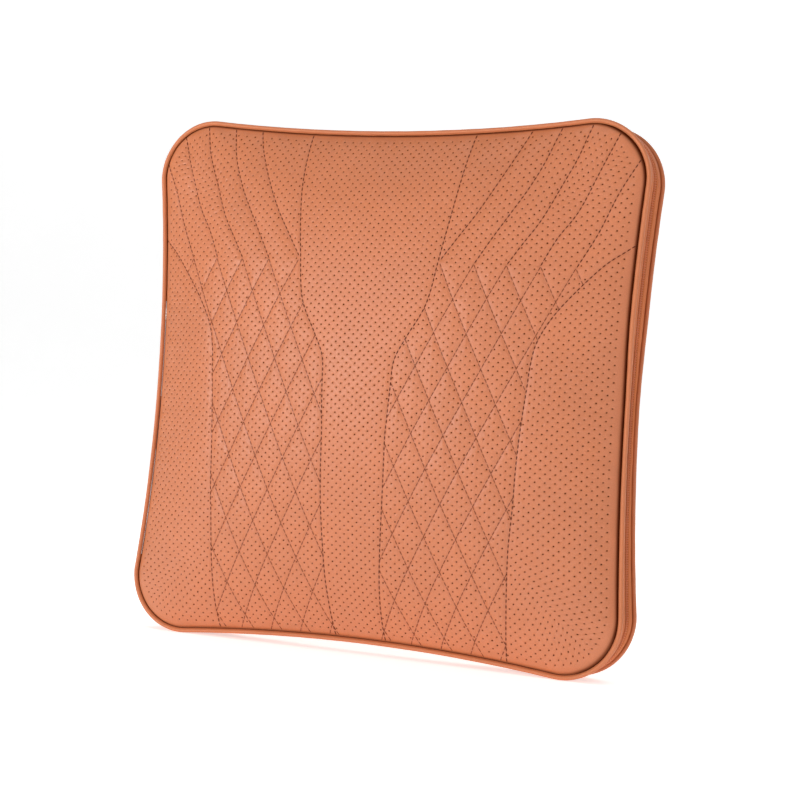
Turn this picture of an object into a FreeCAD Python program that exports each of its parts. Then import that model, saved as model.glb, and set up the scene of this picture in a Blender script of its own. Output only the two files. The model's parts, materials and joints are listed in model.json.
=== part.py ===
# Square kneading massage cushion: a quilted, zip-round leather cover over a foam
# core that carries a two-arm, four-head kneading drive.
#
# Frame: millimetres, +Z up, the quilted front faces -Y, X is the width.
# The origin is the middle of the bottom edge. The drive centre is at half height.
import FreeCAD, Part
import Sketcher
import math
import os
from FreeCAD import Vector as V, Placement, Rotation

doc = FreeCAD.newDocument("massage_cushion")

# ---------------------------------------------------------------- dimensions
sheet = doc.addObject("Spreadsheet::Sheet", "dims")
SIZES = [
    ("half_width", 200.0), ("corner_radius", 44.6), ("side_sag", 6.6), ("top_sag", 7.7),
    ("piping_radius", 1.65), ("piping_offset", 14.5), ("crown_depth", 39.5),
    ("panel_inset", 3.8), ("leather", 1.4), ("quilt_foam", 5.0), ("lining", 0.6),
    ("layer_gap", 0.2), ("zip_half_width", 11.0), ("zip_gap", 0.6),
    ("coil_half_width", 2.6), ("coil_inset", 3.2), ("coil_thick", 2.8),
    ("tape_inset", 4.2), ("tape_thick", 0.8), ("tape_half_width", 6.6),
    ("gusset_inset", 2.6), ("gusset_thick", 1.2), ("gusset_inner", 4.9), ("gusset_outer", 12.6),
    ("strip_top", 55.0), ("strip_bottom", 140.0), ("zip_top_end", 58.0), ("coil_top_end", 67.5), ("zip_bottom_end", 143.0),
    ("foam_front_inset", 17.0), ("foam_rear_inset", 10.0),
    ("foam_front_depth", 29.0), ("foam_rear_depth", 36.0),
    ("window_half_width", 99.0), ("window_half_height", 53.0),
    ("case_half_width", 100.0), ("case_bottom", 52.0), ("case_top", 88.0),
    ("case_wall", 2.5), ("case_split", 20.0), ("case_depth", 40.5), ("case_corner", 12.0),
    ("boss_radius", 4.5), ("screw_radius", 1.5), ("screw_head_radius", 3.0), ("screw_head", 2.0),
    ("gear_module", 2.0), ("gear_teeth", 45.0), ("gear_width", 8.0), ("gear_y", 6.5),
    ("pinion_teeth", 12.0), ("pinion_width", 9.0),
    ("wheel_module", 1.0), ("wheel_teeth", 30.0), ("wheel_width", 6.0), ("wheel_y", 22.0),
    ("worm_pitch_radius", 5.0), ("worm_core_radius", 3.7), ("worm_tip_radius", 5.75),
    ("worm_length", 24.0), ("worm_lead", math.pi),
    ("output_x", 45.0), ("shaft_radius", 4.0), ("bush_bore", 4.05), ("bush_radius", 7.0),
    ("idler_radius", 3.0), ("idler_bush_bore", 3.05), ("idler_bush_radius", 5.0),
    ("motor_radius", 14.0), ("motor_length", 38.0), ("motor_shaft_radius", 1.5),
    ("motor_x", 8.0), ("arm_reach", 30.0), ("arm_half_width", 13.0), ("arm_thick", 6.0),
    ("arm_y", 4.0), ("head_radius", 18.0), ("axle_radius", 3.0), ("head_bore", 3.05),
    ("pod_z", 45.0), ("button_radius", 5.5), ("socket_radius", 4.6), ("socket_bore", 2.75),
    ("socket_pin", 0.75),
]
for row, (alias, value) in enumerate(SIZES, 1):
    sheet.set("A%d" % row, alias.replace("_", " "))
    sheet.set("B%d" % row, repr(value))
    sheet.setAlias("B%d" % row, alias)
doc.recompute()


def dim(alias):
    return float(sheet.get(alias))


HALF = dim("half_width")
CENTRE = V(0, 0, HALF)          # drive centre, at half height
parts = []


# ------------------------------------------------------------------- helpers
def new_body(label, at=None, turn=None):
    body = doc.addObject("PartDesign::Body", label)
    body.Label = label
    body.Placement = Placement(at if at is not None else CENTRE, turn or Rotation())
    parts.append(body)
    return body


def plane(body, role):
    for item in body.Origin.OriginFeatures:
        if item.Role == role:
            return item
    raise ValueError(role)


def sketch(body, name, role, offset=0.0):
    s = body.newObject("Sketcher::SketchObject", body.Name + "_" + name)
    s.AttachmentSupport = [(plane(body, role), "")]
    s.MapMode = "FlatFace"
    s.AttachmentOffset = Placement(V(0, 0, offset), Rotation())
    return s


def face_sketch(body, name, y):
    """A sketch seen from the front: its x is X, its y is Z, and it lies at depth y."""
    return sketch(body, name, "XZ_Plane", -y)


def bind(s, kind, args, value, expr):
    c = s.addConstraint(Sketcher.Constraint(kind, *args, value))
    if expr:
        s.setExpression("Constraints[%d]" % c, expr)


def circle(s, x, y, r, expr=None):
    i = s.addGeometry(Part.Circle(V(x, y, 0), V(0, 0, 1), r), False)
    bind(s, "Radius", (i,), r, expr)


def lines(s, pts):
    first = None
    n = len(pts)
    for i in range(n):
        a, b = pts[i], pts[(i + 1) % n]
        k = s.addGeometry(Part.LineSegment(V(a[0], a[1], 0), V(b[0], b[1], 0)), False)
        if first is None:
            first = k
    for i in range(n):
        s.addConstraint(Sketcher.Constraint("Coincident", first + i, 2, first + (i + 1) % n, 1))
    return first


def rect(s, x0, y0, x1, y1, wide=None, high=None):
    k = lines(s, [(x0, y0), (x1, y0), (x1, y1), (x0, y1)])
    for i, kind in enumerate(("Horizontal", "Vertical", "Horizontal", "Vertical")):
        s.addConstraint(Sketcher.Constraint(kind, k + i))
    bind(s, "DistanceX", (k, 1, k, 2), x1 - x0, wide)
    bind(s, "DistanceY", (k + 1, 1, k + 1, 2), y1 - y0, high)


def arcs(s, pieces, expr=None):
    """Closed chain of 3-point arcs and lines; corner radii may be bound."""
    first = None
    ids = []
    for p in pieces:
        if len(p) == 3:
            g = Part.Arc(V(*p[0], 0), V(*p[1], 0), V(*p[2], 0))
        else:
            g = Part.LineSegment(V(*p[0], 0), V(*p[1], 0))
        ids.append(s.addGeometry(g, False))
    return ids


def rounded(s, x0, y0, x1, y1, r, expr=None):
    q = r * (1 - math.sqrt(0.5))
    ids = arcs(s, [
        ((x0 + r, y0), (x1 - r, y0)), ((x1 - r, y0), (x1 - q, y0 + q), (x1, y0 + r)),
        ((x1, y0 + r), (x1, y1 - r)), ((x1, y1 - r), (x1 - q, y1 - q), (x1 - r, y1)),
        ((x1 - r, y1), (x0 + r, y1)), ((x0 + r, y1), (x0 + q, y1 - q), (x0, y1 - r)),
        ((x0, y1 - r), (x0, y0 + r)), ((x0, y0 + r), (x0 + q, y0 + q), (x0 + r, y0)),
    ])
    for k in (1, 3, 5, 7):
        bind(s, "Radius", (ids[k],), r, expr)


def outline(s, inset, scale=1.0):
    """The cushion's edge line: four corners joined by four sides that pull in."""
    r0 = dim("corner_radius")
    a = HALF - r0
    st, ss = dim("top_sag"), dim("side_sag")
    rt = (a * a + st * st) / (2 * st) - r0
    rs = (a * a + ss * ss) / (2 * ss) - r0
    ct, cs = rt + HALF - st, rs + HALF - ss
    r = r0 - inset

    def unit(x, y):
        n = math.hypot(x, y)
        return x / n, y / n

    ut = unit(-a, ct - a)          # towards the top side's centre
    us = unit(cs - a, -a)          # towards the right side's centre
    pt = (a + r * ut[0], a + r * ut[1])
    ps = (a + r * us[0], a + r * us[1])
    mid = (a + r * math.sqrt(0.5), a + r * math.sqrt(0.5))
    top = HALF - st - inset
    side = HALF - ss - inset
    k = scale
    def m(p, sx, sy):
        return (p[0] * sx * k, p[1] * sy * k)
    chain = [
        (m(ps, 1, 1), m(mid, 1, 1), m(pt, 1, 1)),
        (m(pt, 1, 1), (0, top * k), m(pt, -1, 1)),
        (m(pt, -1, 1), m(mid, -1, 1), m(ps, -1, 1)),
        (m(ps, -1, 1), (-side * k, 0), m(ps, -1, -1)),
        (m(ps, -1, -1), m(mid, -1, -1), m(pt, -1, -1)),
        (m(pt, -1, -1), (0, -top * k), m(pt, 1, -1)),
        (m(pt, 1, -1), m(mid, 1, -1), m(ps, 1, -1)),
        (m(ps, 1, -1), (side * k, 0), m(ps, 1, 1)),
    ]
    ids = arcs(s, chain)
    for i in (0, 2, 4, 6):
        bind(s, "Radius", (ids[i],), r * k, "(dims.corner_radius - %r) * %r" % (inset, k))


def feature(body, kind, name, profile):
    f = body.newObject("PartDesign::" + kind, body.Name + "_" + name)
    f.Profile = profile
    return f


def pad(body, name, s, length, expr=None):
    f = feature(body, "Pad", name, s)
    f.Length = length
    if expr:
        f.setExpression("Length", expr)
    doc.recompute()
    return f


def pocket(body, name, s, length, expr=None, reverse=False):
    before = body.Shape.Volume
    f = feature(body, "Pocket", name, s)
    f.Length = length
    if expr:
        f.setExpression("Length", expr)
    f.Reversed = reverse
    doc.recompute()
    if before - body.Shape.Volume < 1e-3:
        f.Reversed = not reverse
        doc.recompute()
    if before - body.Shape.Volume < 1e-3:
        raise ValueError("pocket cut nothing: " + f.Name)
    return f


def revolve(body, name, pts, expr=None):
    """Profile points are (radius, y), turned about the body's own Y axis."""
    s = sketch(body, name, "XY_Plane")
    lines(s, pts)
    f = feature(body, "Revolution", name + "_turn", s)
    f.ReferenceAxis = (s, ["V_Axis"])
    f.Angle = 360
    doc.recompute()
    return f


def groove(body, name, pts):
    before = body.Shape.Volume
    s = sketch(body, name, "XY_Plane")
    lines(s, pts)
    f = feature(body, "Groove", name + "_cut", s)
    f.ReferenceAxis = (s, ["V_Axis"])
    f.Angle = 360
    doc.recompute()
    if before - body.Shape.Volume < 1e-3:
        raise ValueError("groove cut nothing: " + f.Name)
    return f


def loft(body, kind, name, sections):
    f = feature(body, kind, name, sections[0])
    f.Sections = sections[1:]
    f.Ruled = True
    doc.recompute()
    return f


LEVELS = (1.0, 0.975, 0.92, 0.83, 0.7, 0.54, 0.34)


def crown(body, kind, name, inset, depth, side, flat=0.12, base=None):
    """A domed loft from the piping plane to its flat top; side is -1 front, 1 rear."""
    base = dim("piping_offset") if base is None else base
    rings = []
    for k in [k for k in LEVELS if k > flat + 0.02] + [flat]:
        rise = depth * (1 - k * k) ** 0.62 if k > flat else depth
        rings.append((k, base + rise))
    sections = []
    for i, (k, y) in enumerate(rings):
        s = face_sketch(body, "%s_ring%d" % (name, i), side * y)
        outline(s, inset, k)
        sections.append(s)
    doc.recompute()
    return loft(body, kind, name, sections)


def shell(label, inset, depth, thick, side, flat=0.12):
    body = new_body(label)
    crown(body, "AdditiveLoft", "outer", inset, depth, side, flat)
    crown(body, "SubtractiveLoft", "inner", inset + thick, depth - thick, side, flat)
    return body


def ring(label, inset, thick, y0, y1):
    """A band that follows the edge line, between depths y0 and y1."""
    body = new_body(label)
    s = face_sketch(body, "band", y1)
    outline(s, inset)
    outline(s, inset + thick)
    pad(body, "band_pad", s, y1 - y0)
    return body


# --------------------------------------------------------------- soft cover
gap = dim("layer_gap")
d = dim("crown_depth")
i0 = dim("panel_inset")
shell("front_panel", i0, d, dim("leather"), -1)
i1 = i0 + dim("leather") + gap
d1 = d - dim("leather") - gap
shell("quilting_foam", i1, d1, dim("quilt_foam"), -1)
i2 = i1 + dim("quilt_foam") + gap
d2 = d1 - dim("quilt_foam") - gap
shell("panel_lining", i2, d2, dim("lining"), -1)
shell("rear_panel", i0, d, dim("leather"), 1, flat=0.35)

for label, side in (("front_piping", -1), ("rear_piping", 1)):
    body = new_body(label)
    spine = face_sketch(body, "spine", side * dim("piping_offset"))
    outline(spine, dim("piping_radius"))
    prof = sketch(body, "profile", "YZ_Plane", 0.0)
    top_z = HALF - dim("top_sag") - dim("piping_radius")
    circle(prof, side * dim("piping_offset"), top_z, dim("piping_radius"), "dims.piping_radius")
    f = feature(body, "AdditivePipe", "sweep", prof)
    f.Spine = (spine, [])
    f.Mode = "Frenet"
    doc.recompute()

# Edge: a leather gusset, a woven tape and a moulded coil on each half, all round
# except the leather strip on the left side, which is the fold line of the cover.
hw, cw, zg = dim("zip_half_width"), dim("coil_half_width"), dim("zip_gap")


def open_left(body, name, top, bottom):
    """Takes the band away on the left side between z = -bottom and z = top."""
    s = face_sketch(body, name, 30.0)
    rect(s, -HALF - 10, -bottom, -HALF + 45, top)
    pocket(body, name + "_cut", s, 60.0)


for side, tag in ((-1, "front"), (1, "rear")):
    y = sorted((side * dim("gusset_outer"), side * dim("gusset_inner")))
    body = ring("gusset_" + tag, dim("gusset_inset"), dim("gusset_thick"), y[0], y[1])
    open_left(body, "gap", dim("zip_top_end"), dim("zip_bottom_end"))
    y = sorted((side * dim("tape_half_width"), side * cw))
    body = ring("zip_tape_" + tag, dim("tape_inset"), dim("tape_thick"), y[0], y[1])
    open_left(body, "gap", dim("zip_top_end"), dim("zip_bottom_end"))
    y = sorted((side * (cw - 0.05), side * zg))
    body = ring("zip_coil_" + tag, dim("coil_inset"), dim("coil_thick"), y[0], y[1])
    open_left(body, "gap", dim("coil_top_end"), dim("zip_bottom_end") + 3)

# Leather strip on the left side, with a window for the control pod.
pz = -dim("pod_z")
body = ring("hinge_strip", dim("tape_inset"), dim("leather"), -hw + 0.1, hw - 0.1)
s = face_sketch(body, "keep", 30.0)
far, cut_x = HALF + 20, -HALF + 45
lines(s, [(-far, -far), (far, -far), (far, far), (-far, far), (-far, dim("strip_top")),
          (cut_x, dim("strip_top")), (cut_x, -dim("strip_bottom")), (-far, -dim("strip_bottom"))])
pocket(body, "keep_cut", s, 60.0)
s = sketch(body, "window", "YZ_Plane", -HALF - 5)
rect(s, -7.4, pz - 27.4, 7.4, pz + 27.4)
pocket(body, "window_cut", s, 40.0)

# End stops crimped over the coil at the strip's two ends.
body = new_body("zip_end_stops")
for tag, z, x0 in (("top", dim("zip_top_end"), -192.6), ("bottom", -dim("zip_bottom_end"), -197.4)):
    s = sketch(body, tag, "YZ_Plane", x0)
    rect(s, -2.4, z - 1.6, 2.4, z + 1.6)
    pad(body, tag + "_pad", s, 4.8)

# ------------------------------------------------------------------ foam core
body = new_body("foam_core")
s = face_sketch(body, "front_slab", 0.0)
outline(s, dim("foam_front_inset"))
pad(body, "front_pad", s, dim("piping_offset"), "dims.piping_offset")
s = face_sketch(body, "rear_slab", dim("piping_offset"))
outline(s, dim("foam_rear_inset"))
pad(body, "rear_pad", s, dim("piping_offset"), "dims.piping_offset")
crown(body, "AdditiveLoft", "front_dome", dim("foam_front_inset"), dim("foam_front_depth"), -1)
crown(body, "AdditiveLoft", "rear_dome", dim("foam_rear_inset"), dim("foam_rear_depth"), 1, flat=0.35)
cwid, cbot, ctop = dim("case_half_width"), dim("case_bottom"), dim("case_top")
s = face_sketch(body, "case_hole", 43.5)
rounded(s, -cwid - 1, -cbot - 1, cwid + 1, ctop + 1, dim("case_corner"), "dims.case_corner")
pocket(body, "case_cut", s, 44.5, reverse=True)
s = face_sketch(body, "window", 0.0)
rounded(s, -dim("window_half_width"), -dim("window_half_height"), dim("window_half_width"),
        dim("window_half_height"), 30.0)
pocket(body, "window_cut", s, 60.0, reverse=True)
s = sketch(body, "pod_hole", "YZ_Plane", -HALF)
rect(s, -10.5, pz - 32, 10.5, pz + 32)
pocket(body, "pod_cut", s, 34.0)

# --------------------------------------------------------------- drive casing
ix = -dim("output_x") + 57.0 * math.cos(math.radians(60))
iz = 57.0 * math.sin(math.radians(60))
wz = iz + dim("wheel_module") * dim("wheel_teeth") / 2 + dim("worm_pitch_radius")
wy = dim("wheel_y")
ox = dim("output_x")
wall, split, depth = dim("case_wall"), dim("case_split"), dim("case_depth")
BOSSES = [(-90, -42), (90, -42), (-90, 78), (90, 78), (0, -42.6), (0, 80.3)]

body = new_body("housing_front")
s = face_sketch(body, "outer", split)
rounded(s, -cwid, -cbot, cwid, ctop, dim("case_corner"), "dims.case_corner")
pad(body, "outer_pad", s, split, "dims.case_split")
s = face_sketch(body, "inner", split)
rounded(s, -cwid + wall, -cbot + wall, cwid - wall, ctop - wall, dim("case_corner") - wall,
        "dims.case_corner - dims.case_wall")
pocket(body, "inner_cut", s, split - wall, "dims.case_split - dims.case_wall")
s = face_sketch(body, "bosses", split)
for x, z in BOSSES:
    circle(s, x, z, dim("boss_radius"), "dims.boss_radius")
pad(body, "boss_pad", s, split - wall + 0.5)
s = face_sketch(body, "pilots", split)
for x, z in BOSSES:
    circle(s, x, z, dim("screw_radius"), "dims.screw_radius")
pocket(body, "pilot_cut", s, 14.0)
s = face_sketch(body, "journals", 5.5)
for x in (-ox, ox):
    circle(s, x, 0, dim("bush_radius") + 3)
circle(s, ix, iz, dim("idler_bush_radius") + 2.5)
pad(body, "journal_pad", s, 5.0)
s = face_sketch(body, "journal_holes", 5.6)
for x in (-ox, ox):
    circle(s, x, 0, dim("bush_radius"), "dims.bush_radius")
pocket(body, "journal_cut", s, 12.0)
s = face_sketch(body, "idler_hole", 5.6)
circle(s, ix, iz, dim("idler_bush_radius"), "dims.idler_bush_radius")
pocket(body, "idler_cut", s, 3.6)

body = new_body("housing_rear")
s = face_sketch(body, "outer", depth)
rounded(s, -cwid, -cbot, cwid, ctop, dim("case_corner"), "dims.case_corner")
pad(body, "outer_pad", s, depth - split - 0.2, "dims.case_depth - dims.case_split - 0.2")
s = face_sketch(body, "inner", depth - wall)
rounded(s, -cwid + wall, -cbot + wall, cwid - wall, ctop - wall, dim("case_corner") - wall,
        "dims.case_corner - dims.case_wall")
pocket(body, "inner_cut", s, 30.0, reverse=True)
s = face_sketch(body, "bosses", depth - 0.5)
for x, z in BOSSES:
    circle(s, x, z, dim("boss_radius"), "dims.boss_radius")
pad(body, "boss_pad", s, depth - 0.5 - split - 0.2)
s = face_sketch(body, "clearance", depth + 1)
for x, z in BOSSES:
    circle(s, x, z, dim("screw_radius") + 0.2, "dims.screw_radius + 0.2")
pocket(body, "clearance_cut", s, 30.0)
s = face_sketch(body, "journals", depth - 0.5)
for x in (-ox, ox):
    circle(s, x, 0, dim("bush_radius") + 3)
circle(s, ix, iz, dim("idler_bush_radius") + 2.5)
pad(body, "journal_pad", s, 9.0)
s = face_sketch(body, "journal_holes", 38.2)
for x in (-ox, ox):
    circle(s, x, 0, dim("bush_radius"), "dims.bush_radius")
circle(s, ix, iz, dim("idler_bush_radius"), "dims.idler_bush_radius")
pocket(body, "journal_cut", s, 12.0, reverse=True)

body = new_body("housing_screws")
s = face_sketch(body, "heads", depth + dim("screw_head"))
for x, z in BOSSES:
    circle(s, x, z, dim("screw_head_radius"), "dims.screw_head_radius")
pad(body, "head_pad", s, dim("screw_head"), "dims.screw_head")
s = face_sketch(body, "shanks", depth)
for x, z in BOSSES:
    circle(s, x, z, dim("screw_radius") - 0.02, "dims.screw_radius - 0.02")
pad(body, "shank_pad", s, 33.0)

body = new_body("output_bushes")
for tag, y0, y1 in (("front", -0.5, 5.5), ("rear", 32.0, 38.0)):
    s = face_sketch(body, tag, y1)
    for x in (-ox, ox):
        circle(s, x, 0, dim("bush_radius"), "dims.bush_radius")
        circle(s, x, 0, dim("bush_bore"), "dims.bush_bore")
    pad(body, tag + "_pad", s, y1 - y0)
body = new_body("idler_bushes")
for tag, y0, y1 in (("front", 2.2, 5.5), ("rear", 32.0, 38.0)):
    s = face_sketch(body, tag, y1)
    circle(s, ix, iz, dim("idler_bush_radius"), "dims.idler_bush_radius")
    circle(s, ix, iz, dim("idler_bush_bore"), "dims.idler_bush_bore")
    pad(body, tag + "_pad", s, y1 - y0)


# --------------------------------------------------------------------- gears
def tooth(module, teeth, addendum, dedendum, backlash, steps=5):
    """One involute tooth about the +X axis, as a polygon (20 degree pressure angle)."""
    rp = module * teeth / 2
    rb = rp * math.cos(math.radians(20))
    tip, root = rp + addendum, rp - dedendum

    def inv(r):
        if r <= rb:
            return 0.0
        a = math.acos(rb / r)
        return math.tan(a) - a

    half = math.pi / (2 * teeth) - backlash / (2 * rp) + inv(rp)
    start = max(root, rb)
    rr = [start + (tip - start) * i / steps for i in range(steps + 1)]
    if root < rb:
        rr = [root] + rr
    flank = [(r, half - inv(r)) for r in rr]
    flank = [(root - 0.6, flank[0][1])] + flank
    upper = [(r * math.cos(t), r * math.sin(t)) for r, t in flank]
    return [(x, -z) for x, z in upper] + list(reversed(upper)), root


def gear(label, centre, module, teeth, width, y0, bore, addendum, dedendum, backlash,
         turn=0.0, skew=0.0, hub=None):
    body = new_body(label, CENTRE + V(centre[0], 0, centre[1]), Rotation(V(0, 1, 0), turn))
    pts, root = tooth(module, teeth, addendum, dedendum, backlash)
    prof = [(bore, y0), (root, y0), (root, y0 + width), (bore, y0 + width)]
    if hub:
        prof = [(bore, y0), (root, y0), (root, y0 + width), (hub[0], y0 + width),
                (hub[0], hub[1]), (bore, hub[1])]
    revolve(body, "blank", prof)
    s = face_sketch(body, "tooth", y0 + width)
    lines(s, pts)
    f = feature(body, "Pad", "tooth_pad", s)
    f.Length = width
    if skew:
        f.UseCustomVector = True
        f.Direction = V(0, -math.cos(math.radians(skew)), math.sin(math.radians(skew)))
        f.AlongSketchNormal = True
        f.AttachmentOffset = f.AttachmentOffset
    doc.recompute()
    p = body.newObject("PartDesign::PolarPattern", label + "_teeth")
    p.Originals = [f]
    p.Axis = (plane(body, "Y_Axis"), [""])
    p.Angle = 360
    p.Occurrences = int(teeth)
    p.Refine = False
    body.Tip = p
    doc.recompute()
    return body


gm, gt = dim("gear_module"), dim("gear_teeth")
for tag, x in (("left", -ox), ("right", ox)):
    body = gear(tag + "_output_gear", (x, 0), gm, gt, dim("gear_width"), dim("gear_y"),
                dim("shaft_radius"), 1.6, 2.3, 0.35, hub=(11.0, 22.0))
gear("idler_pinion", (ix, iz), gm, dim("pinion_teeth"), dim("pinion_width"), 6.0,
     dim("idler_radius"), 1.6, 2.3, 0.35)

# Output shafts, arms, axles and push nuts.
for tag, x, turn in (("left", -ox, 0.0), ("right", ox, 90.0)):
    at = CENTRE + V(x, 0, 0)
    body = new_body(tag + "_output_shaft", at)
    r = dim("shaft_radius")
    revolve(body, "shaft", [(0, -11.0), (r, -11.0), (r, 36.0), (r - 0.6, 36.8), (0, 36.8)])
    body = new_body(tag + "_arm", at, Rotation(V(0, 1, 0), turn))
    w, reach = dim("arm_half_width"), dim("arm_reach")
    ya = -dim("arm_y")
    s = face_sketch(body, "plate", ya)
    arcs(s, [((-reach, -w), (reach, -w)), ((reach, -w), (reach + w, 0), (reach, w)),
             ((reach, w), (-reach, w)), ((-reach, w), (-reach - w, 0), (-reach, -w))])
    pad(body, "plate_pad", s, dim("arm_thick"), "dims.arm_thick")
    s = face_sketch(body, "hub", ya)
    circle(s, 0, 0, 16.5)
    pad(body, "hub_pad", s, dim("arm_thick"), "dims.arm_thick")
    s = face_sketch(body, "hub_hole", ya + 1)
    circle(s, 0, 0, r, "dims.shaft_radius")
    pocket(body, "hub_cut", s, 20.0)
    s = face_sketch(body, "axle_holes", ya + 1)
    for sx in (-reach, reach):
        circle(s, sx, 0, dim("axle_radius"), "dims.axle_radius")
    pocket(body, "axle_cut", s, 20.0)
    body = new_body(tag + "_head_axles", at, Rotation(V(0, 1, 0), turn))
    s = face_sketch(body, "pins", ya)
    for sx in (-reach, reach):
        circle(s, sx, 0, dim("axle_radius"), "dims.axle_radius")
    pad(body, "pin_pad", s, 28.0)
    body = new_body(tag + "_push_nuts", at, Rotation(V(0, 1, 0), turn))
    s = face_sketch(body, "nuts", -29.6)
    for sx in (-reach, reach):
        circle(s, sx, 0, 5.2)
        circle(s, sx, 0, dim("axle_radius"), "dims.axle_radius")
    pad(body, "nut_pad", s, 1.2)
    body = new_body(tag + "_arm_nut", at)
    s = face_sketch(body, "nut", -10.0)
    lines(s, [(6.5 * math.cos(math.radians(60 * k)), 6.5 * math.sin(math.radians(60 * k)))
              for k in range(6)])
    pad(body, "nut_pad", s, 3.6)
    s = face_sketch(body, "thread", -9.0)
    circle(s, 0, 0, r, "dims.shaft_radius")
    pocket(body, "thread_cut", s, 2.0)

# Kneading heads: domed rollers that spin freely on the arm axles.
reach = dim("arm_reach")
hr, hb = dim("head_radius"), dim("head_bore")
for label, x, z in (("head_left_outer", -ox - reach, 0), ("head_left_inner", -ox + reach, 0),
                    ("head_right_upper", ox, reach), ("head_right_lower", ox, -reach)):
    body = new_body(label, CENTRE + V(x, 0, z))
    prof = [(hb, -10.6), (9.0, -10.6), (10.5, -13.0), (hr - 2.2, -15.0), (hr - 0.5, -17.2),
            (hr, -20.0), (hr - 0.6, -24.0), (hr - 2.6, -28.5), (hr - 6.0, -32.8),
            (hr - 9.4, -35.6), (6.4, -36.5), (6.0, -36.0), (6.0, -29.0), (hb, -29.0)]
    revolve(body, "dome", prof)

# Worm wheel and idler shaft.
lead_angle = math.degrees(math.atan(dim("worm_lead") / (2 * math.pi * dim("worm_pitch_radius"))))
ww = dim("wheel_width")
body = new_body("worm_wheel", CENTRE + V(ix, 0, iz), Rotation(V(0, 1, 0), 0.0))
pts, root = tooth(dim("wheel_module"), dim("wheel_teeth"), 0.7, 1.15, 0.30, steps=3)
revolve(body, "blank", [(dim("idler_radius"), wy - ww / 2 - 3), (8.0, wy - ww / 2 - 3),
                        (8.0, wy - ww / 2), (root, wy - ww / 2), (root, wy + ww / 2),
                        (8.0, wy + ww / 2), (8.0, wy + ww / 2 + 3), (dim("idler_radius"), wy + ww / 2 + 3)])
s = face_sketch(body, "tooth", wy)
lines(s, pts)
f1 = feature(body, "Pad", "tooth_front", s)
f1.Length = ww / 2
f1.UseCustomVector = True
f1.Direction = V(0, -1, math.tan(math.radians(lead_angle)))
doc.recompute()
f2 = feature(body, "Pad", "tooth_rear", s)
f2.Length = ww / 2
f2.UseCustomVector = True
f2.Direction = V(0, 1, -math.tan(math.radians(lead_angle)))
doc.recompute()
p = body.newObject("PartDesign::PolarPattern", "worm_wheel_teeth")
p.Originals = [f1, f2]
p.Axis = (plane(body, "Y_Axis"), [""])
p.Angle = 360
p.setExpression("Occurrences", "dims.wheel_teeth")
p.Refine = False
body.Tip = p
doc.recompute()

body = new_body("idler_shaft", CENTRE + V(ix, 0, iz))
r = dim("idler_radius")
revolve(body, "shaft", [(0, 2.4), (r, 2.4), (r, 36.5), (r - 0.5, 37.0), (0, 37.0)])

# ---------------------------------------------------------- motor and its worm
axis_at = CENTRE + V(0, wy, wz)
along_x = Rotation(V(0, 1, 0), 90)      # local Z to +X
mx, mr, ml = dim("motor_x"), dim("motor_radius"), dim("motor_length")


def turned(label, circles, shift=0.0, spin=0.0):
    """Coaxial discs on the motor's axis: (radius, x start, x end, expression)."""
    body = new_body(label, axis_at + V(shift, 0, 0), along_x.multiply(Rotation(V(0, 0, 1), spin)))
    for n, (r, x0, x1, expr) in enumerate(circles):
        s = sketch(body, "disc%d" % n, "XY_Plane", x0)
        circle(s, 0, 0, r, expr)
        pad(body, "disc%d_pad" % n, s, x1 - x0)
    return body


def bored(body, r, x0, x1, expr=None):
    s = sketch(body, "bore", "XY_Plane", x0 - 1)
    circle(s, 0, 0, r, expr)
    pocket(body, "bore_cut", s, x1 - x0 + 2, reverse=True)


body = turned("motor_can", [(mr, mx, mx + ml, "dims.motor_radius"), (5.0, mx - 2.2, mx + 1, None)])
bored(body, dim("motor_shaft_radius") + 0.05, mx - 2.2, mx + 6)
s = sketch(body, "taps", "XY_Plane", mx - 1)
for k in (-9, 9):
    circle(s, 0, k, 1.25)
pocket(body, "tap_cut", s, 6.0, reverse=True)
turned("motor_end_cap", [(mr - 2.5, mx + ml, mx + ml + 4, None)])
body = turned("motor_shaft", [(dim("motor_shaft_radius"), -36.5, mx + 5, "dims.motor_shaft_radius")])

body = new_body("motor_bracket")
s = sketch(body, "plate", "YZ_Plane", mx - 3.0)
rounded(s, wy - 17.0, wz - 15.0, wy + 15.5, wz + 15.0, 3.0)
circle(s, wy, wz, 5.1)
for k in (-9, 9):
    circle(s, wy + k, wz, 1.35)
pad(body, "plate_pad", s, 2.8)
body = new_body("motor_screws")
s = sketch(body, "heads", "YZ_Plane", mx - 4.8)
for k in (-9, 9):
    circle(s, wy + k, wz, 2.5)
pad(body, "head_pad", s, 1.8)
s = sketch(body, "shanks", "YZ_Plane", mx - 3.1)
for k in (-9, 9):
    circle(s, wy + k, wz, 1.2)
pad(body, "shank_pad", s, 7.0)

body = new_body("worm_end_bearing")
s = sketch(body, "block", "YZ_Plane", -37.5)
rounded(s, wy - 5.0, wz - 5.0, depth - wall, wz + 5.0, 1.5)
circle(s, wy, wz, dim("motor_shaft_radius") + 0.05)
pad(body, "block_pad", s, 5.0)

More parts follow.
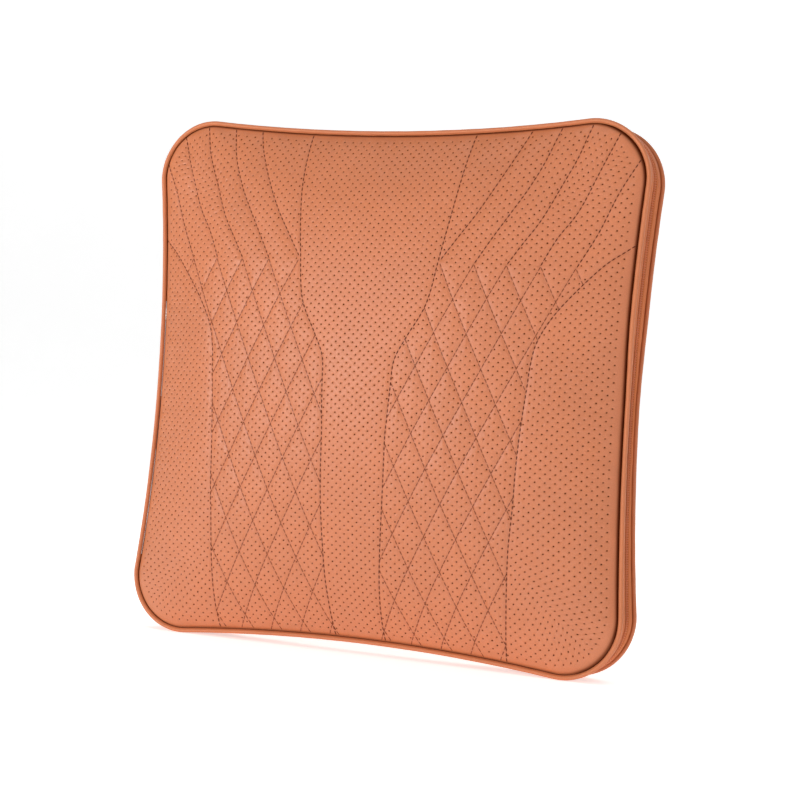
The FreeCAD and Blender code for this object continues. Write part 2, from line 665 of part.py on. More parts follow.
# Worm: single start, pitch equal to the wheel's circular pitch.
wl = dim("worm_length")
worm_x0 = ix - wl / 2
WORM_SPIN = 300.0     # degrees, puts the thread midway between two wheel teeth
body = turned("worm", [(dim("worm_core_radius"), 0.0, wl, "dims.worm_core_radius")],
              shift=worm_x0, spin=WORM_SPIN)
s = sketch(body, "thread", "XZ_Plane")
rc, rt = dim("worm_core_radius"), dim("worm_tip_radius")
z0 = 2.0
lines(s, [(rc - 0.3, z0 - 1.05), (rt, z0 - 0.25), (rt, z0 + 0.25), (rc - 0.3, z0 + 1.05)])
h = feature(body, "AdditiveHelix", "thread_helix", s)
h.ReferenceAxis = (s, ["V_Axis"])
h.Mode = 0
h.setExpression("Pitch", "dims.worm_lead")
h.Height = dim("worm_lead") * 6
h.LeftHanded = False
h.Refine = False
body.Tip = h
doc.recompute()
bored(body, dim("motor_shaft_radius"), 0.0, wl, "dims.motor_shaft_radius")

# -------------------------------------------------------------- control pod
# Lies in the leather strip on the left side; its outside faces -X.
pod_x = -(HALF - dim("side_sag") - dim("tape_inset")) - 1.5
body = new_body("control_bezel")
s = sketch(body, "flange", "YZ_Plane", pod_x - 2.4)
rounded(s, -8.8, pz - 29.0, 8.8, pz + 29.0, 6.0)
pad(body, "flange_pad", s, 2.0)
s = sketch(body, "tub", "YZ_Plane", pod_x - 0.6)
rounded(s, -7.2, pz - 27.2, 7.2, pz + 27.2, 4.0)
pad(body, "tub_pad", s, 16.0)
s = sketch(body, "hollow", "YZ_Plane", pod_x + 1.0)
rounded(s, -5.8, pz - 25.8, 5.8, pz + 25.8, 3.0)
pocket(body, "hollow_cut", s, 20.0, reverse=True)
s = sketch(body, "holes", "YZ_Plane", pod_x - 5.0)
circle(s, 0, pz + 13, dim("button_radius") + 0.1, "dims.button_radius + 0.1")
circle(s, 0, pz - 13, dim("socket_radius"), "dims.socket_radius")
pocket(body, "holes_cut", s, 10.0)

body = new_body("power_button")
s = sketch(body, "cap", "YZ_Plane", pod_x - 3.8)
circle(s, 0, pz + 13, dim("button_radius"), "dims.button_radius")
pad(body, "cap_pad", s, 6.0)
s = sketch(body, "collar", "YZ_Plane", pod_x + 1.3)
rect(s, -5.2, pz + 13 - 7.0, 5.2, pz + 13 + 7.0)
pad(body, "collar_pad", s, 1.2)
s = sketch(body, "stem", "YZ_Plane", pod_x + 2.4)
circle(s, 0, pz + 13, 1.8)
pad(body, "stem_pad", s, 3.3)

body = new_body("tact_switch")
s = sketch(body, "case", "YZ_Plane", pod_x + 7.6)
rect(s, -3.0, pz + 10, 3.0, pz + 16)
pad(body, "case_pad", s, 3.4)
s = sketch(body, "dome", "YZ_Plane", pod_x + 7.0)
circle(s, 0, pz + 13, 1.7)
pad(body, "dome_pad", s, 0.7)

body = new_body("control_board")
s = sketch(body, "board", "YZ_Plane", pod_x + 11.0)
rounded(s, -5.7, pz - 25.6, 5.7, pz + 25.6, 3.2)
pad(body, "board_pad", s, 1.6)

body = new_body("dc_socket")
s = sketch(body, "barrel", "YZ_Plane", pod_x - 2.2)
circle(s, 0, pz - 13, dim("socket_radius"), "dims.socket_radius")
pad(body, "barrel_pad", s, 13.2)
s = sketch(body, "bore", "YZ_Plane", pod_x - 3.0)
circle(s, 0, pz - 13, dim("socket_bore"), "dims.socket_bore")
pocket(body, "bore_cut", s, 10.8)
s = sketch(body, "pin", "YZ_Plane", pod_x - 1.2)
circle(s, 0, pz - 13, dim("socket_pin"), "dims.socket_pin")
pad(body, "pin_pad", s, 10.0)

# -------------------------------------------------------------- zip slider
# On the left side, parked above the strip; it opens the zip by running upwards.
# The slider's frame leans with the edge line so that it follows the coil.
park_z, end_z = 74.0, 136.0
big = (155.4 * 155.4 + dim("side_sag") ** 2) / (2 * dim("side_sag")) - dim("corner_radius")


def edge_x(z, inset=0.0):
    return -(HALF - dim("side_sag") - inset + z * z / (2 * big))


lean = math.degrees(math.atan2(edge_x(end_z) - edge_x(park_z), end_z - park_z))
mid_in = dim("coil_inset") + dim("coil_thick") / 2
at = CENTRE + V(edge_x(park_z, mid_in) - 0.12, 0, park_z)
tilt = Rotation(V(0, 1, 0), lean)
body = new_body("zip_slider", at, tilt)
# local: -X outwards, +Z towards the closed chain
for tag, x0, x1 in (("outer", -3.55, -2.15), ("inner", 2.15, 3.25)):
    s = sketch(body, tag, "YZ_Plane", x0)
    lines(s, [(3.2, 6.0), (-3.2, 6.0), (-4.4, 0.0), (-4.4, -6.0), (-2.6, -9.2), (2.6, -9.2),
              (4.4, -6.0), (4.4, 0.0)])
    pad(body, tag + "_pad", s, x1 - x0)
s = sketch(body, "divider", "YZ_Plane", -2.3)
rect(s, -0.45, -9.0, 0.45, -6.8)
pad(body, "divider_pad", s, 4.7)
s = sketch(body, "ear", "YZ_Plane", -6.3)
rect(s, -0.8, -1.5, 0.8, 1.5)
pad(body, "ear_pad", s, 3.0)
s = face_sketch(body, "pin", 2.7)
circle(s, -5.0, 0, 0.6)
pad(body, "pin_pad", s, 5.4)

# Pull tab: a forked blade that hangs straight down from the slider's pin.
pin_at = at + tilt.multVec(V(-5.0, 0, 0))
body = new_body("zip_pull_tab", pin_at)
s = sketch(body, "blade", "YZ_Plane", -0.7)
rounded(s, -3.3, -32.0, 3.3, 0.0, 2.0)
pad(body, "blade_pad", s, 1.4)
s = face_sketch(body, "eye", 3.3)
circle(s, 0, 0, 1.35)
pad(body, "eye_pad", s, 6.6)
s = sketch(body, "fork", "YZ_Plane", -3.0)
rect(s, -1.0, -2.6, 1.0, 3.0)
pocket(body, "fork_cut", s, 6.0, reverse=True)
s = face_sketch(body, "bore", 5.0)
circle(s, 0, 0, 0.66)
pocket(body, "bore_cut", s, 10.0, reverse=True)
s = sketch(body, "grip", "YZ_Plane", -3.0)
rounded(s, -1.6, -29.0, 1.6, -20.0, 1.5)
pocket(body, "grip_cut", s, 6.0, reverse=True)

doc.recompute()

# ------------------------------------------------------------ check and write
bad = [o.Name for o in doc.Objects if any(w in str(o.State) for w in ("Invalid", "Error"))]
if bad:
    raise ValueError("features failed: " + ", ".join(bad))
os.makedirs("parts", exist_ok=True)
for o in parts:
    if o.Shape.isNull() or not o.Shape.isValid() or o.Shape.Volume <= 0:
        raise ValueError("bad shape: " + o.Label)
for o in parts:
    o.Shape.exportStep("parts/%s.step" % o.Label)
    b = o.Shape.BoundBox
    print("%-20s %2d solid %9.1f mm3  x %.2f..%.2f y %.2f..%.2f z %.2f..%.2f" % (
        o.Label, len(o.Shape.Solids), o.Shape.Volume, b.XMin, b.XMax, b.YMin, b.YMax, b.ZMin, b.ZMax))
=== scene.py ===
import json
import math

import bpy
import numpy as np
from mathutils import Matrix, Vector


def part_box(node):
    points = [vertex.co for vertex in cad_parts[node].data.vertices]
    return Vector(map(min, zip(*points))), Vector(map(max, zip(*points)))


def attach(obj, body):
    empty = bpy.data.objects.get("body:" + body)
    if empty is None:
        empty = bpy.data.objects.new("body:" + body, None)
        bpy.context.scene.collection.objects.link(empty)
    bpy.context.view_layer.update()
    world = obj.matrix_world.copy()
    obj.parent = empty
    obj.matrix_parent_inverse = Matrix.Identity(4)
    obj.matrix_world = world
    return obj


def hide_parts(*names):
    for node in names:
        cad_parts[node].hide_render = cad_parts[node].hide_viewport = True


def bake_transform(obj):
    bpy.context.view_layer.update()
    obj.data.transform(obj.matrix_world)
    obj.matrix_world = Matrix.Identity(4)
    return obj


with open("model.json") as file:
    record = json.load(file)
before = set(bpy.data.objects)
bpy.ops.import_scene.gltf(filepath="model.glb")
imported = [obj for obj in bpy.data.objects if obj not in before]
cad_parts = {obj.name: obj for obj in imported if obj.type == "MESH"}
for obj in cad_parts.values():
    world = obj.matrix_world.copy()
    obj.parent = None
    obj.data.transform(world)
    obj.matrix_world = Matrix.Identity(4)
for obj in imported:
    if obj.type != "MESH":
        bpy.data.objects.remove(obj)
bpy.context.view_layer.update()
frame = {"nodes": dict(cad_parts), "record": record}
NODES = frame["nodes"]
rng = np.random.default_rng(20)
MM = 0.001
ZC = 200.0  # height of the cushion's middle, mm

# ---------------------------------------------------------------- the cushion's outline and crown
H0, R0, SAG_TOP, SAG_SIDE = 200.0, 44.6, 7.7, 6.6
A0 = H0 - R0
RT = (A0 * A0 + SAG_TOP**2) / (2 * SAG_TOP) - R0
RS = (A0 * A0 + SAG_SIDE**2) / (2 * SAG_SIDE) - R0
CT = RT + H0 - SAG_TOP
CS = RS + H0 - SAG_SIDE


def outline(inset, n=60):
    """Closed outline, counter-clockwise seen from the front, inset from the sewn edge."""
    r = R0 - inset
    ut = np.array([-A0, CT - A0]) / math.hypot(A0, CT - A0)
    us = np.array([CS - A0, -A0]) / math.hypot(CS - A0, A0)
    th = np.linspace(math.atan2(us[1], us[0]), math.atan2(ut[1], ut[0]), n)
    cor = np.c_[A0 + r * np.cos(th), A0 + r * np.sin(th)]
    x = np.linspace(cor[-1][0], -cor[-1][0], 4 * n)[1:-1]
    top = np.c_[x, CT - np.sqrt((RT + inset) ** 2 - x * x)]
    z = np.linspace(cor[0][1], -cor[0][1], 4 * n)[1:-1]
    left = np.c_[-(CS - np.sqrt((RS + inset) ** 2 - z * z)), z]
    return np.vstack(
        [
            cor,
            top,
            cor[::-1] * [-1, 1],
            left,
            -cor,
            top[::-1] * [1, -1],
            cor[::-1] * [1, -1],
            left[::-1] * [-1, 1],
        ]
    )


def radius_of(inset):
    o = outline(inset, 200)
    t = np.arctan2(o[:, 1], o[:, 0])
    k = np.argsort(t)
    t, r = t[k], np.hypot(o[k, 0], o[k, 1])
    t = np.r_[t[-1] - 2 * np.pi, t, t[0] + 2 * np.pi]
    r = np.r_[r[-1], r, r[0]]
    return lambda a: np.interp(a, t, r)


RIM = 4.0
rad = radius_of(RIM)


def crown(u, v, depth=38.5):
    """How far the stuffed face stands out from its seam."""
    rho = np.hypot(u, v) / rad(np.arctan2(v, u))
    ex = CS - np.sqrt((RS + RIM) ** 2 - np.minimum(np.abs(v), 160) ** 2)
    ez = CT - np.sqrt((RT + RIM) ** 2 - np.minimum(np.abs(u), 160) ** 2)
    X, Z, n = np.abs(u) / ex, np.abs(v) / ez, 5
    rs = (X**n + Z**n) ** (1 / n)
    w = np.clip((rho - 0.75) / 0.25, 0, 1)
    w = w * w * (3 - 2 * w)
    rm = np.clip(rs * (1 - w) + rho * w, 0, 1)
    f = np.clip(1 - rm**2, 0, 1)
    F = np.clip(1 - X**2, 0, 1) * np.clip(1 - Z**2, 0, 1)
    return depth * f**0.37 * F**0.25


def ease(t):
    t = np.clip(t, 0, 1)
    return t * t * (3 - 2 * t)


def welt_y(u, v):
    """Half the distance between the two welts: narrow in the middle of a side, wide at a corner, and fuller along the upper right."""
    side = np.abs(u) >= np.abs(v)
    along = np.where(side, v, u)
    w = np.clip(1 - (along / A0) ** 2, 0, 1) ** 0.9
    pull = np.where(side & (u < 0), 4.6, 5.0)
    full = ease((v + 10) / 80) * ease((u - 120) / 60)
    return 16.8 - pull * w * (1 - 0.72 * full) + 1.0 * full


def smooth(t):
    t = np.clip(t, 0, 1)
    return t * t * (3 - 2 * t)


def face_y(u, v, sign, depth=38.5):
    """y of the plain stuffed face, front (sign -1) or rear (sign +1), without seams."""
    rho = np.hypot(u, v) / rad(np.arctan2(v, u))
    c = crown(u, v, depth)
    if sign > 0:
        k = 0.35
        c = -np.log(np.exp(-k * c * 1.12) + np.exp(-k * 39.2)) / k
        c = np.maximum(c, 0)
    edge = smooth((rho - 0.72) / 0.28)
    return sign * (14.5 + (welt_y(u, v) - 14.5 - 1.0) * edge + c)


# ---------------------------------------------------------------- quilting lines of the front (mm)
MIDLINE = -2.0
INNER = np.array([(67, 189), (63, 142), (56, 95), (50, 61), (37, 36), (29, 19), (27.5, -1), (26.3, -24), (25.5, -38), (25, -81), (22.5, -138), (21, -166), (20.5, -186)], float)
OUTER = np.array([(190, 106), (172, 91), (146, 61), (133, 39), (129, 22), (127.5, 5), (125, -24), (123.4, -52), (122.5, -81), (120.6, -109), (120, -138), (119.4, -164), (118, -186)], float)
FANS = [
    [(111, 192), (104, 174), (93, 151), (81, 129), (69, 111), (57, 93)],
    [(134, 194), (126, 168), (117, 148), (109, 134), (93, 108), (83, 91)],
    [(157, 194), (150, 171), (141, 151), (129, 125), (116, 105), (107, 91)],
    [(177, 186), (166, 159), (154, 131), (141, 111), (131, 91)],
    [(193, 168), (181, 145), (169, 116), (156, 91)],
]


def spline(p, step=2.0):
    """A smooth line through the points, centripetal Catmull-Rom."""
    p = np.asarray(p, float)
    q = np.vstack([2 * p[0] - p[1], p, 2 * p[-1] - p[-2]])
    out = []
    for i in range(len(p) - 1):
        a, b, c, d = q[i : i + 4]
        n = max(2, int(np.hypot(*(c - b)) / step))
        t = np.linspace(0, 1, n, endpoint=False)[:, None]
        out.append(0.5 * (2 * b + (c - a) * t + (2 * a - 5 * b + 4 * c - d) * t**2 + (3 * b - 3 * c + d - a) * t**3))
    out.append(p[-1][None])
    return np.vstack(out)


def lattice():
    lines = []
    v = np.arange(90.7, -188.0, -2.0)
    inner = np.interp(-v, -INNER[:, 1], INNER[:, 0])
    outer = np.interp(-v, -OUTER[:, 1], OUTER[:, 0])
    for first, lean in [(a, -0.497) for a in (82.9, 107, 131.4, 155.7, 180, 204.3, 228.6, 252.9)] + [
        (b, 0.497) for b in (155.7, 131.4, 107, 82.9, 57, 32.7, 8.4, -15.9, -40.2, -64.5, -88.8, -113)
    ]:
        u = first + lean * (90.7 - v)
        keep = (u >= inner - 0.5) & (u <= outer + 0.5)
        if keep.sum() > 2:
            lines.append(np.c_[u[keep], v[keep]])
    return lines


half = [(spline(INNER), 1.0), (spline(OUTER), 1.15)] + [(spline(f), 1.25) for f in FANS] + [(l, 0.9) for l in lattice()]
SEAMS = []  # (points in u,v ; strength)
for line, strength in half:
    for side in (-1, 1):
        p = np.c_[MIDLINE + side * line[:, 0], line[:, 1]]
        rho = np.hypot(p[:, 0], p[:, 1]) / rad(np.arctan2(p[:, 1], p[:, 0]))
        p = p[rho < 0.992]
        if len(p) > 2:
            SEAMS.append((p, strength))


def seam_field(u, v):
    """Distance to the nearest quilting line and that line's strength, at flat positions."""
    dist = np.full(u.shape, 30.0)
    power = np.ones(u.shape)
    reach = 13.0
    for p, s in SEAMS:
        # runs of about 8 points share one box test
        for k in range(0, len(p) - 1, 8):
            run = p[k : k + 9]
            lo, hi = run.min(0) - reach, run.max(0) + reach
            m = np.nonzero((u > lo[0]) & (u < hi[0]) & (v > lo[1]) & (v < hi[1]))[0]
            if not len(m):
                continue
            um, vm = u[m], v[m]
            best = np.full(len(m), 99.0)
            for a, b in zip(run[:-1], run[1:]):
                d = b - a
                t = np.clip(((um - a[0]) * d[0] + (vm - a[1]) * d[1]) / (d @ d), 0, 1)
                best = np.minimum(best, np.hypot(um - a[0] - t * d[0], vm - a[1] - t * d[1]))
            near = best < dist[m]
            idx = m[near]
            dist[idx] = best[near]
            power[idx] = s
    return dist, power


def quilt(u, v):
    """Inward dent of the quilted face at flat positions, and the distance to the seam."""
    dist, power = seam_field(u, v)
    dent = power * (0.24 * np.exp(-((dist / 1.1) ** 2)) + 1.02 * np.exp(-dist / 4.6))
    return dent, dist


def ripples(u, v, seed, size=0.28, reach=16.0):
    """Small gathers where the face is sewn to the welt."""
    r = np.random.default_rng(seed)
    a = np.arctan2(v, u)
    rho = np.hypot(u, v) / rad(a)
    fromrim = (1 - rho) * rad(a)
    out = np.zeros(u.shape)
    for _ in range(9):
        n, ph, w = r.integers(30, 110), r.uniform(0, 6.28), r.uniform(0.4, 1)
        out += w * np.sin(n * a + ph + 0.02 * fromrim * r.uniform(-1, 1))
    return size * out / 3 * np.exp(-((fromrim - 4) / reach) ** 2) * smooth(fromrim / 3)


def billows(u, v, seed, size):
    """Slow unevenness of hand-filled leather."""
    r = np.random.default_rng(seed)
    out = np.zeros(u.shape)
    for _ in range(14):
        k = r.uniform(0.02, 0.075)
        t = r.uniform(0, 6.28)
        out += np.sin(k * (u * math.cos(t) + v * math.sin(t)) + r.uniform(0, 6.28)) * 0.025 / k
    rho = np.hypot(u, v) / rad(np.arctan2(v, u))
    return size * out / 3 * smooth((1 - rho) / 0.2)


# ---------------------------------------------------------------- mesh helpers
def build(name, co, faces, mats, smooth_shade=True, uv=None, points=None, face_mat=None):
    me = bpy.data.meshes.new(name)
    me.from_pydata((np.asarray(co, float) * MM).tolist(), [], [list(f) for f in faces])
    if uv is not None:
        layer = me.uv_layers.new(name="UVMap")
        idx = np.empty(len(me.loops), np.int32)
        me.loops.foreach_get("vertex_index", idx)
        layer.data.foreach_set("uv", np.asarray(uv, np.float32)[idx].ravel())
    for key, val in (points or {}).items():
        at = me.attributes.new(key, "FLOAT", "POINT")
        at.data.foreach_set("value", np.asarray(val, np.float32))
    for m in mats if isinstance(mats, (list, tuple)) else [mats]:
        me.materials.append(m)
    if face_mat is not None:
        me.polygons.foreach_set("material_index", np.asarray(face_mat, np.int32))
    me.polygons.foreach_set("use_smooth", np.full(len(me.polygons), smooth_shade))
    me.validate()
    me.update()
    ob = bpy.data.objects.new(name, me)
    bpy.context.scene.collection.objects.link(ob)
    return ob


def grid_faces(nr, nc, first=0, flip=False):
    i = np.arange(nr - 1)[:, None] * nc + np.arange(nc - 1)[None] + first
    i = i.ravel()
    f = np.c_[i, i + 1, i + nc + 1, i + nc]
    return f[:, ::-1] if flip else f


def ring_index(nr, nc):
    """Boundary vertices of an nr x nc grid, in order, starting at its first corner."""
    a = np.arange(nc)
    b = np.arange(1, nr) * nc + nc - 1
    c = (nr - 1) * nc + np.arange(nc - 2, -1, -1)
    d = np.arange(nr - 2, 0, -1) * nc
    return np.r_[a, b, c, d]


def square_map(nr, nc, rim_inset=RIM):
    """Cloth coordinates: even rows and columns inside, the rounded outline at the border."""
    a = np.linspace(-1, 1, nc)[None].repeat(nr, 0)
    b = np.linspace(-1, 1, nr)[:, None].repeat(nc, 1)
    rho = np.maximum(np.abs(a), np.abs(b))
    th = np.arctan2(b, a)
    rr = radius_of(rim_inset)(th)
    w = smooth((rho - 0.55) / 0.45)
    u = 189.0 * a * (1 - w) + rho * rr * np.cos(th) * w
    v = 189.0 * b * (1 - w) + rho * rr * np.sin(th) * w
    return u.ravel(), v.ravel(), rho.ravel()


def resample(p, step, closed=False):
    p = np.asarray(p, float)
    if closed:
        p = np.vstack([p, p[:1]])
    s = np.r_[0, np.cumsum(np.linalg.norm(np.diff(p, axis=0), axis=1))]
    n = max(2, int(round(s[-1] / step)) + 1)
    t = np.linspace(0, s[-1], n)
    q = np.c_[[np.interp(t, s, p[:, i]) for i in range(p.shape[1])]].T
    return (q[:-1] if closed else q), s[-1]


def sweep(name, path, normal, section, mats, closed, cap=True, uvscale=True, attr=None):
    """path (n,3), normal (n,3) outward; section(i) gives (m,2) points as (outward, along +y)."""
    n = len(path)
    rows = []
    for i in range(n):
        s = section(i)
        rows.append(path[i] + s[:, :1] * normal[i] + s[:, 1:] * np.array([0, 1.0, 0]))
    m = len(rows[0])
    co = np.vstack(rows)
    faces = []
    for i in range(n if closed else n - 1):
        j = (i + 1) % n
        k = np.arange(m)
        k2 = (k + 1) % m
        faces.append(np.c_[i * m + k, i * m + k2, j * m + k2, j * m + k])
    faces = [list(f) for f in np.vstack(faces)]
    if not closed and cap:
        faces.append(list(range(m))[::-1])
        faces.append([(n - 1) * m + q for q in range(m)])
    s = np.r_[0, np.cumsum(np.linalg.norm(np.diff(path, axis=0), axis=1))]
    peri = np.r_[0, np.cumsum(np.linalg.norm(np.diff(section(0), axis=0), axis=1))]
    uv = np.c_[np.repeat(s, m), np.tile(peri, n)] * 0.1
    return build(name, co, faces, mats, uv=uv, points=attr)


def recalc(ob):
    import bmesh

    bm = bmesh.new()
    bm.from_mesh(ob.data)
    bmesh.ops.recalc_face_normals(bm, faces=bm.faces)
    bm.to_mesh(ob.data)
    bm.free()
    ob.data.update()
    return ob


# ---------------------------------------------------------------- materials
def new_mat(name):
    m = bpy.data.materials.new(name)
    m.use_nodes = True
    nt = m.node_tree
    nt.nodes.clear()
    out = nt.nodes.new("ShaderNodeOutputMaterial")
    bs = nt.nodes.new("ShaderNodeBsdfPrincipled")
    nt.links.new(bs.outputs[0], out.inputs[0])
    return m, nt, bs


def node(nt, kind, **kw):
    n = nt.nodes.new("ShaderNode" + kind)
    for k, v in kw.items():
        if k in n.inputs:
            n.inputs[k].default_value = v
        else:
            setattr(n, k, v)
    return n


def coords(nt, scale=(1, 1, 1), which="Object"):
    tc = node(nt, "TexCoord")
    mp = node(nt, "Mapping")
    mp.inputs["Scale"].default_value = scale
    nt.links.new(tc.outputs[which], mp.inputs["Vector"])
    return mp.outputs[0]


def maths(nt, op, a, b=None, clamp=False):
    n = node(nt, "Math", operation=op, use_clamp=clamp)
    for i, x in enumerate((a, b)):
        if x is None:
            continue
        if isinstance(x, (int, float)):
            n.inputs[i].default_value = x
        else:
            nt.links.new(x, n.inputs[i])
    return n.outputs[0]


def ramp(nt, x, stops, interp="LINEAR"):
    r = node(nt, "ValToRGB")
    r.color_ramp.interpolation = interp
    el = r.color_ramp.elements
    while len(el) < len(stops):
        el.new(0.5)
    for e, (p, c) in zip(el, stops):
        e.position = p
        e.color = (*c, 1) if len(c) == 3 else c
    nt.links.new(x, r.inputs[0])
    return r.outputs[0]


def mixc(nt, fac, a, b, mode="MIX"):
    n = node(nt, "Mix", data_type="RGBA", blend_type=mode)
    for sock, x in ((n.inputs[0], fac), (n.inputs[6], a), (n.inputs[7], b)):
        if isinstance(x, (int, float)):
            sock.default_value = x
        elif isinstance(x, tuple):
            sock.default_value = (*x, 1)
        else:
            nt.links.new(x, sock)
    return n.outputs[2]


def bump(nt, h, strength, dist, prev=None):
    b = node(nt, "Bump")
    b.inputs["Strength"].default_value = strength
    b.inputs["Distance"].default_value = dist
    nt.links.new(h, b.inputs["Height"])
    if prev is not None:
        nt.links.new(prev, b.inputs["Normal"])
    return b.outputs[0]


LEATHER = (0.580, 0.164, 0.050)


def leather(name, base=LEATHER, rough=0.34, grain=1.0, holes=False, tint=0.12, spec=0.85, crease_shade=False):
    m, nt, bs = new_mat(name)
    v = coords(nt)
    wide = node(nt, "TexNoise", Scale=22.0, Detail=3.0, Roughness=0.55)
    nt.links.new(v, wide.inputs["Vector"])
    fine = node(nt, "TexNoise", Scale=420.0, Detail=4.0, Roughness=0.6)
    nt.links.new(v, fine.inputs["Vector"])
    dark = tuple(c * (1 - tint) for c in base)
    light = tuple(min(1, c * (1 + tint * 0.7)) for c in base)
    c = mixc(nt, wide.outputs[0], dark, light)
    cell = node(nt, "TexVoronoi", feature="DISTANCE_TO_EDGE", Scale=1050.0)
    nt.links.new(v, cell.inputs["Vector"])
    pore = ramp(nt, cell.outputs[0], [(0.0, (0, 0, 0)), (0.16, (1, 1, 1))])
    c = mixc(nt, maths(nt, "MULTIPLY", maths(nt, "SUBTRACT", 1.0, pore), 0.32), c, tuple(k * 0.55 for k in base))
    c = mixc(nt, maths(nt, "MULTIPLY", fine.outputs[0], 0.24), c, tuple(min(1, k * 1.25) for k in base))
    r = maths(nt, "ADD", maths(nt, "MULTIPLY", wide.outputs[0], 0.10), rough - 0.05)
    r = maths(nt, "ADD", r, maths(nt, "MULTIPLY", maths(nt, "SUBTRACT", 1.0, pore), 0.10))
    n = bump(nt, pore, 0.40 * grain, 0.00024)
    n = bump(nt, fine.outputs[0], 0.22 * grain, 0.0003, n)
    if holes:
        at = node(nt, "Attribute", attribute_name="hole")
        hole = node(nt, "MapRange")
        hole.inputs["From Min"].default_value = 0.70
        hole.inputs["From Max"].default_value = 0.97
        nt.links.new(at.outputs["Fac"], hole.inputs["Value"])
        # painted shade: the leather is darkened and made more orange along the quilting lines, standing for the shade
        # in their grooves
        se = node(nt, "Attribute", attribute_name="seam")
        c = mixc(nt, maths(nt, "MULTIPLY", se.outputs["Fac"], 0.22), c, tuple(k * q for k, q in zip(base, (0.66, 0.52, 0.44))))
        # painted shade: the perforation pits are coloured near-black red-brown and lose their gloss, standing for the
        # shade inside the holes
        c = mixc(nt, maths(nt, "MULTIPLY", hole.outputs[0], 0.93), c, (0.075, 0.012, 0.004))
        r = maths(nt, "ADD", r, maths(nt, "MULTIPLY", hole.outputs[0], 0.3))
        gloss = maths(nt, "MULTIPLY", maths(nt, "SUBTRACT", 1.0, hole.outputs[0]), spec)
    # the last flag turns on the painted shade along the sewn edge, for leather without perforations
    elif crease_shade:
        gloss = spec
    if holes or crease_shade:
        # painted shade: where the attribute read here is set, the colour is darkened to deep brown and the gloss
        # lowered, standing for the shadow in the crease between the leather face and the welt
        rim_shade = node(nt, "Attribute", attribute_name="rim_shade")
        c = mixc(nt, maths(nt, "MULTIPLY", rim_shade.outputs["Fac"], 0.96, clamp=True), c, tuple(k * q for k, q in zip(base, (0.13, 0.07, 0.05))))
        r = maths(nt, "ADD", r, maths(nt, "MULTIPLY", rim_shade.outputs["Fac"], 0.35))
        gloss = maths(nt, "MULTIPLY", maths(nt, "SUBTRACT", 1.0, maths(nt, "MULTIPLY", rim_shade.outputs["Fac"], 0.95, clamp=True)), gloss)
    nt.links.new(c, bs.inputs["Base Color"])
    nt.links.new(r, bs.inputs["Roughness"])
    nt.links.new(n, bs.inputs["Normal"])
    if holes or crease_shade:
        nt.links.new(gloss, bs.inputs["Specular IOR Level"])
    else:
        bs.inputs["Specular IOR Level"].default_value = spec
    return m


def plastic(name, base, rough=0.45, grain=0.5, scale=900.0, metallic=0.0, tint=0.10, streak=None, spec=0.5):
    """Moulded plastic or worked metal: fine texture, slow tone changes, lighter worn high spots."""
    m, nt, bs = new_mat(name)
    v = coords(nt, streak or (1, 1, 1))
    fine = node(nt, "TexNoise", Scale=scale, Detail=3.0, Roughness=0.6)
    nt.links.new(v, fine.inputs["Vector"])
    wide = node(nt, "TexNoise", Scale=35.0, Detail=4.0, Roughness=0.6)
    nt.links.new(coords(nt), wide.inputs["Vector"])
    c = mixc(nt, wide.outputs[0], tuple(k * (1 - tint) for k in base), tuple(min(1, k * (1 + tint)) for k in base))
    c = mixc(nt, maths(nt, "MULTIPLY", fine.outputs[0], 0.25), c, tuple(min(1, k * 1.18 + 0.01) for k in base))
    geo = node(nt, "NewGeometry")
    worn = ramp(nt, geo.outputs["Pointiness"], [(0.52, (0, 0, 0)), (0.60, (1, 1, 1))])
    c = mixc(nt, maths(nt, "MULTIPLY", worn, 0.28), c, tuple(min(1, k * 1.5 + 0.03) for k in base))
    nt.links.new(c, bs.inputs["Base Color"])
    r = maths(nt, "ADD", maths(nt, "MULTIPLY", wide.outputs[0], 0.16), rough - 0.08)
    r = maths(nt, "ADD", r, maths(nt, "MULTIPLY", fine.outputs[0], 0.08))
    nt.links.new(r, bs.inputs["Roughness"])
    nt.links.new(bump(nt, fine.outputs[0], grain * 0.35, 0.0002), bs.inputs["Normal"])
    bs.inputs["Metallic"].default_value = metallic
    bs.inputs["Specular IOR Level"].default_value = spec
    return m


def woven(name, base, per_mm=1.6, depth=0.6, rough=0.75, gain=0.45):
    """Woven tape or cloth; UV is 0.1 per millimetre along and across."""
    m, nt, bs = new_mat(name)
    v = coords(nt, which="UV")
    a = node(nt, "TexWave", wave_type="BANDS", bands_direction="DIAGONAL", Scale=per_mm * 1.9, Distortion=0.6, Detail=1.0)
    nt.links.new(v, a.inputs["Vector"])
    b = node(nt, "TexWave", wave_type="BANDS", bands_direction="Y", Scale=per_mm * 3.4, Distortion=0.5, Detail=1.0)
    nt.links.new(v, b.inputs["Vector"])
    w = maths(nt, "MULTIPLY", a.outputs["Fac"], b.outputs["Fac"])
    ns = node(nt, "TexNoise", Scale=60.0, Detail=3.0)
    nt.links.new(coords(nt), ns.inputs["Vector"])
    c = mixc(nt, w, tuple(k * (1 - gain) for k in base), tuple(min(1, k * 1.12) for k in base))
    c = mixc(nt, maths(nt, "MULTIPLY", ns.outputs[0], 0.25), c, tuple(k * 0.8 for k in base))
    nt.links.new(c, bs.inputs["Base Color"])
    nt.links.new(maths(nt, "ADD", maths(nt, "MULTIPLY", w, -0.12), rough), bs.inputs["Roughness"])
    nt.links.new(bump(nt, w, depth, 0.0003), bs.inputs["Normal"])
    bs.inputs["Sheen Weight"].default_value = 0.15
    return m


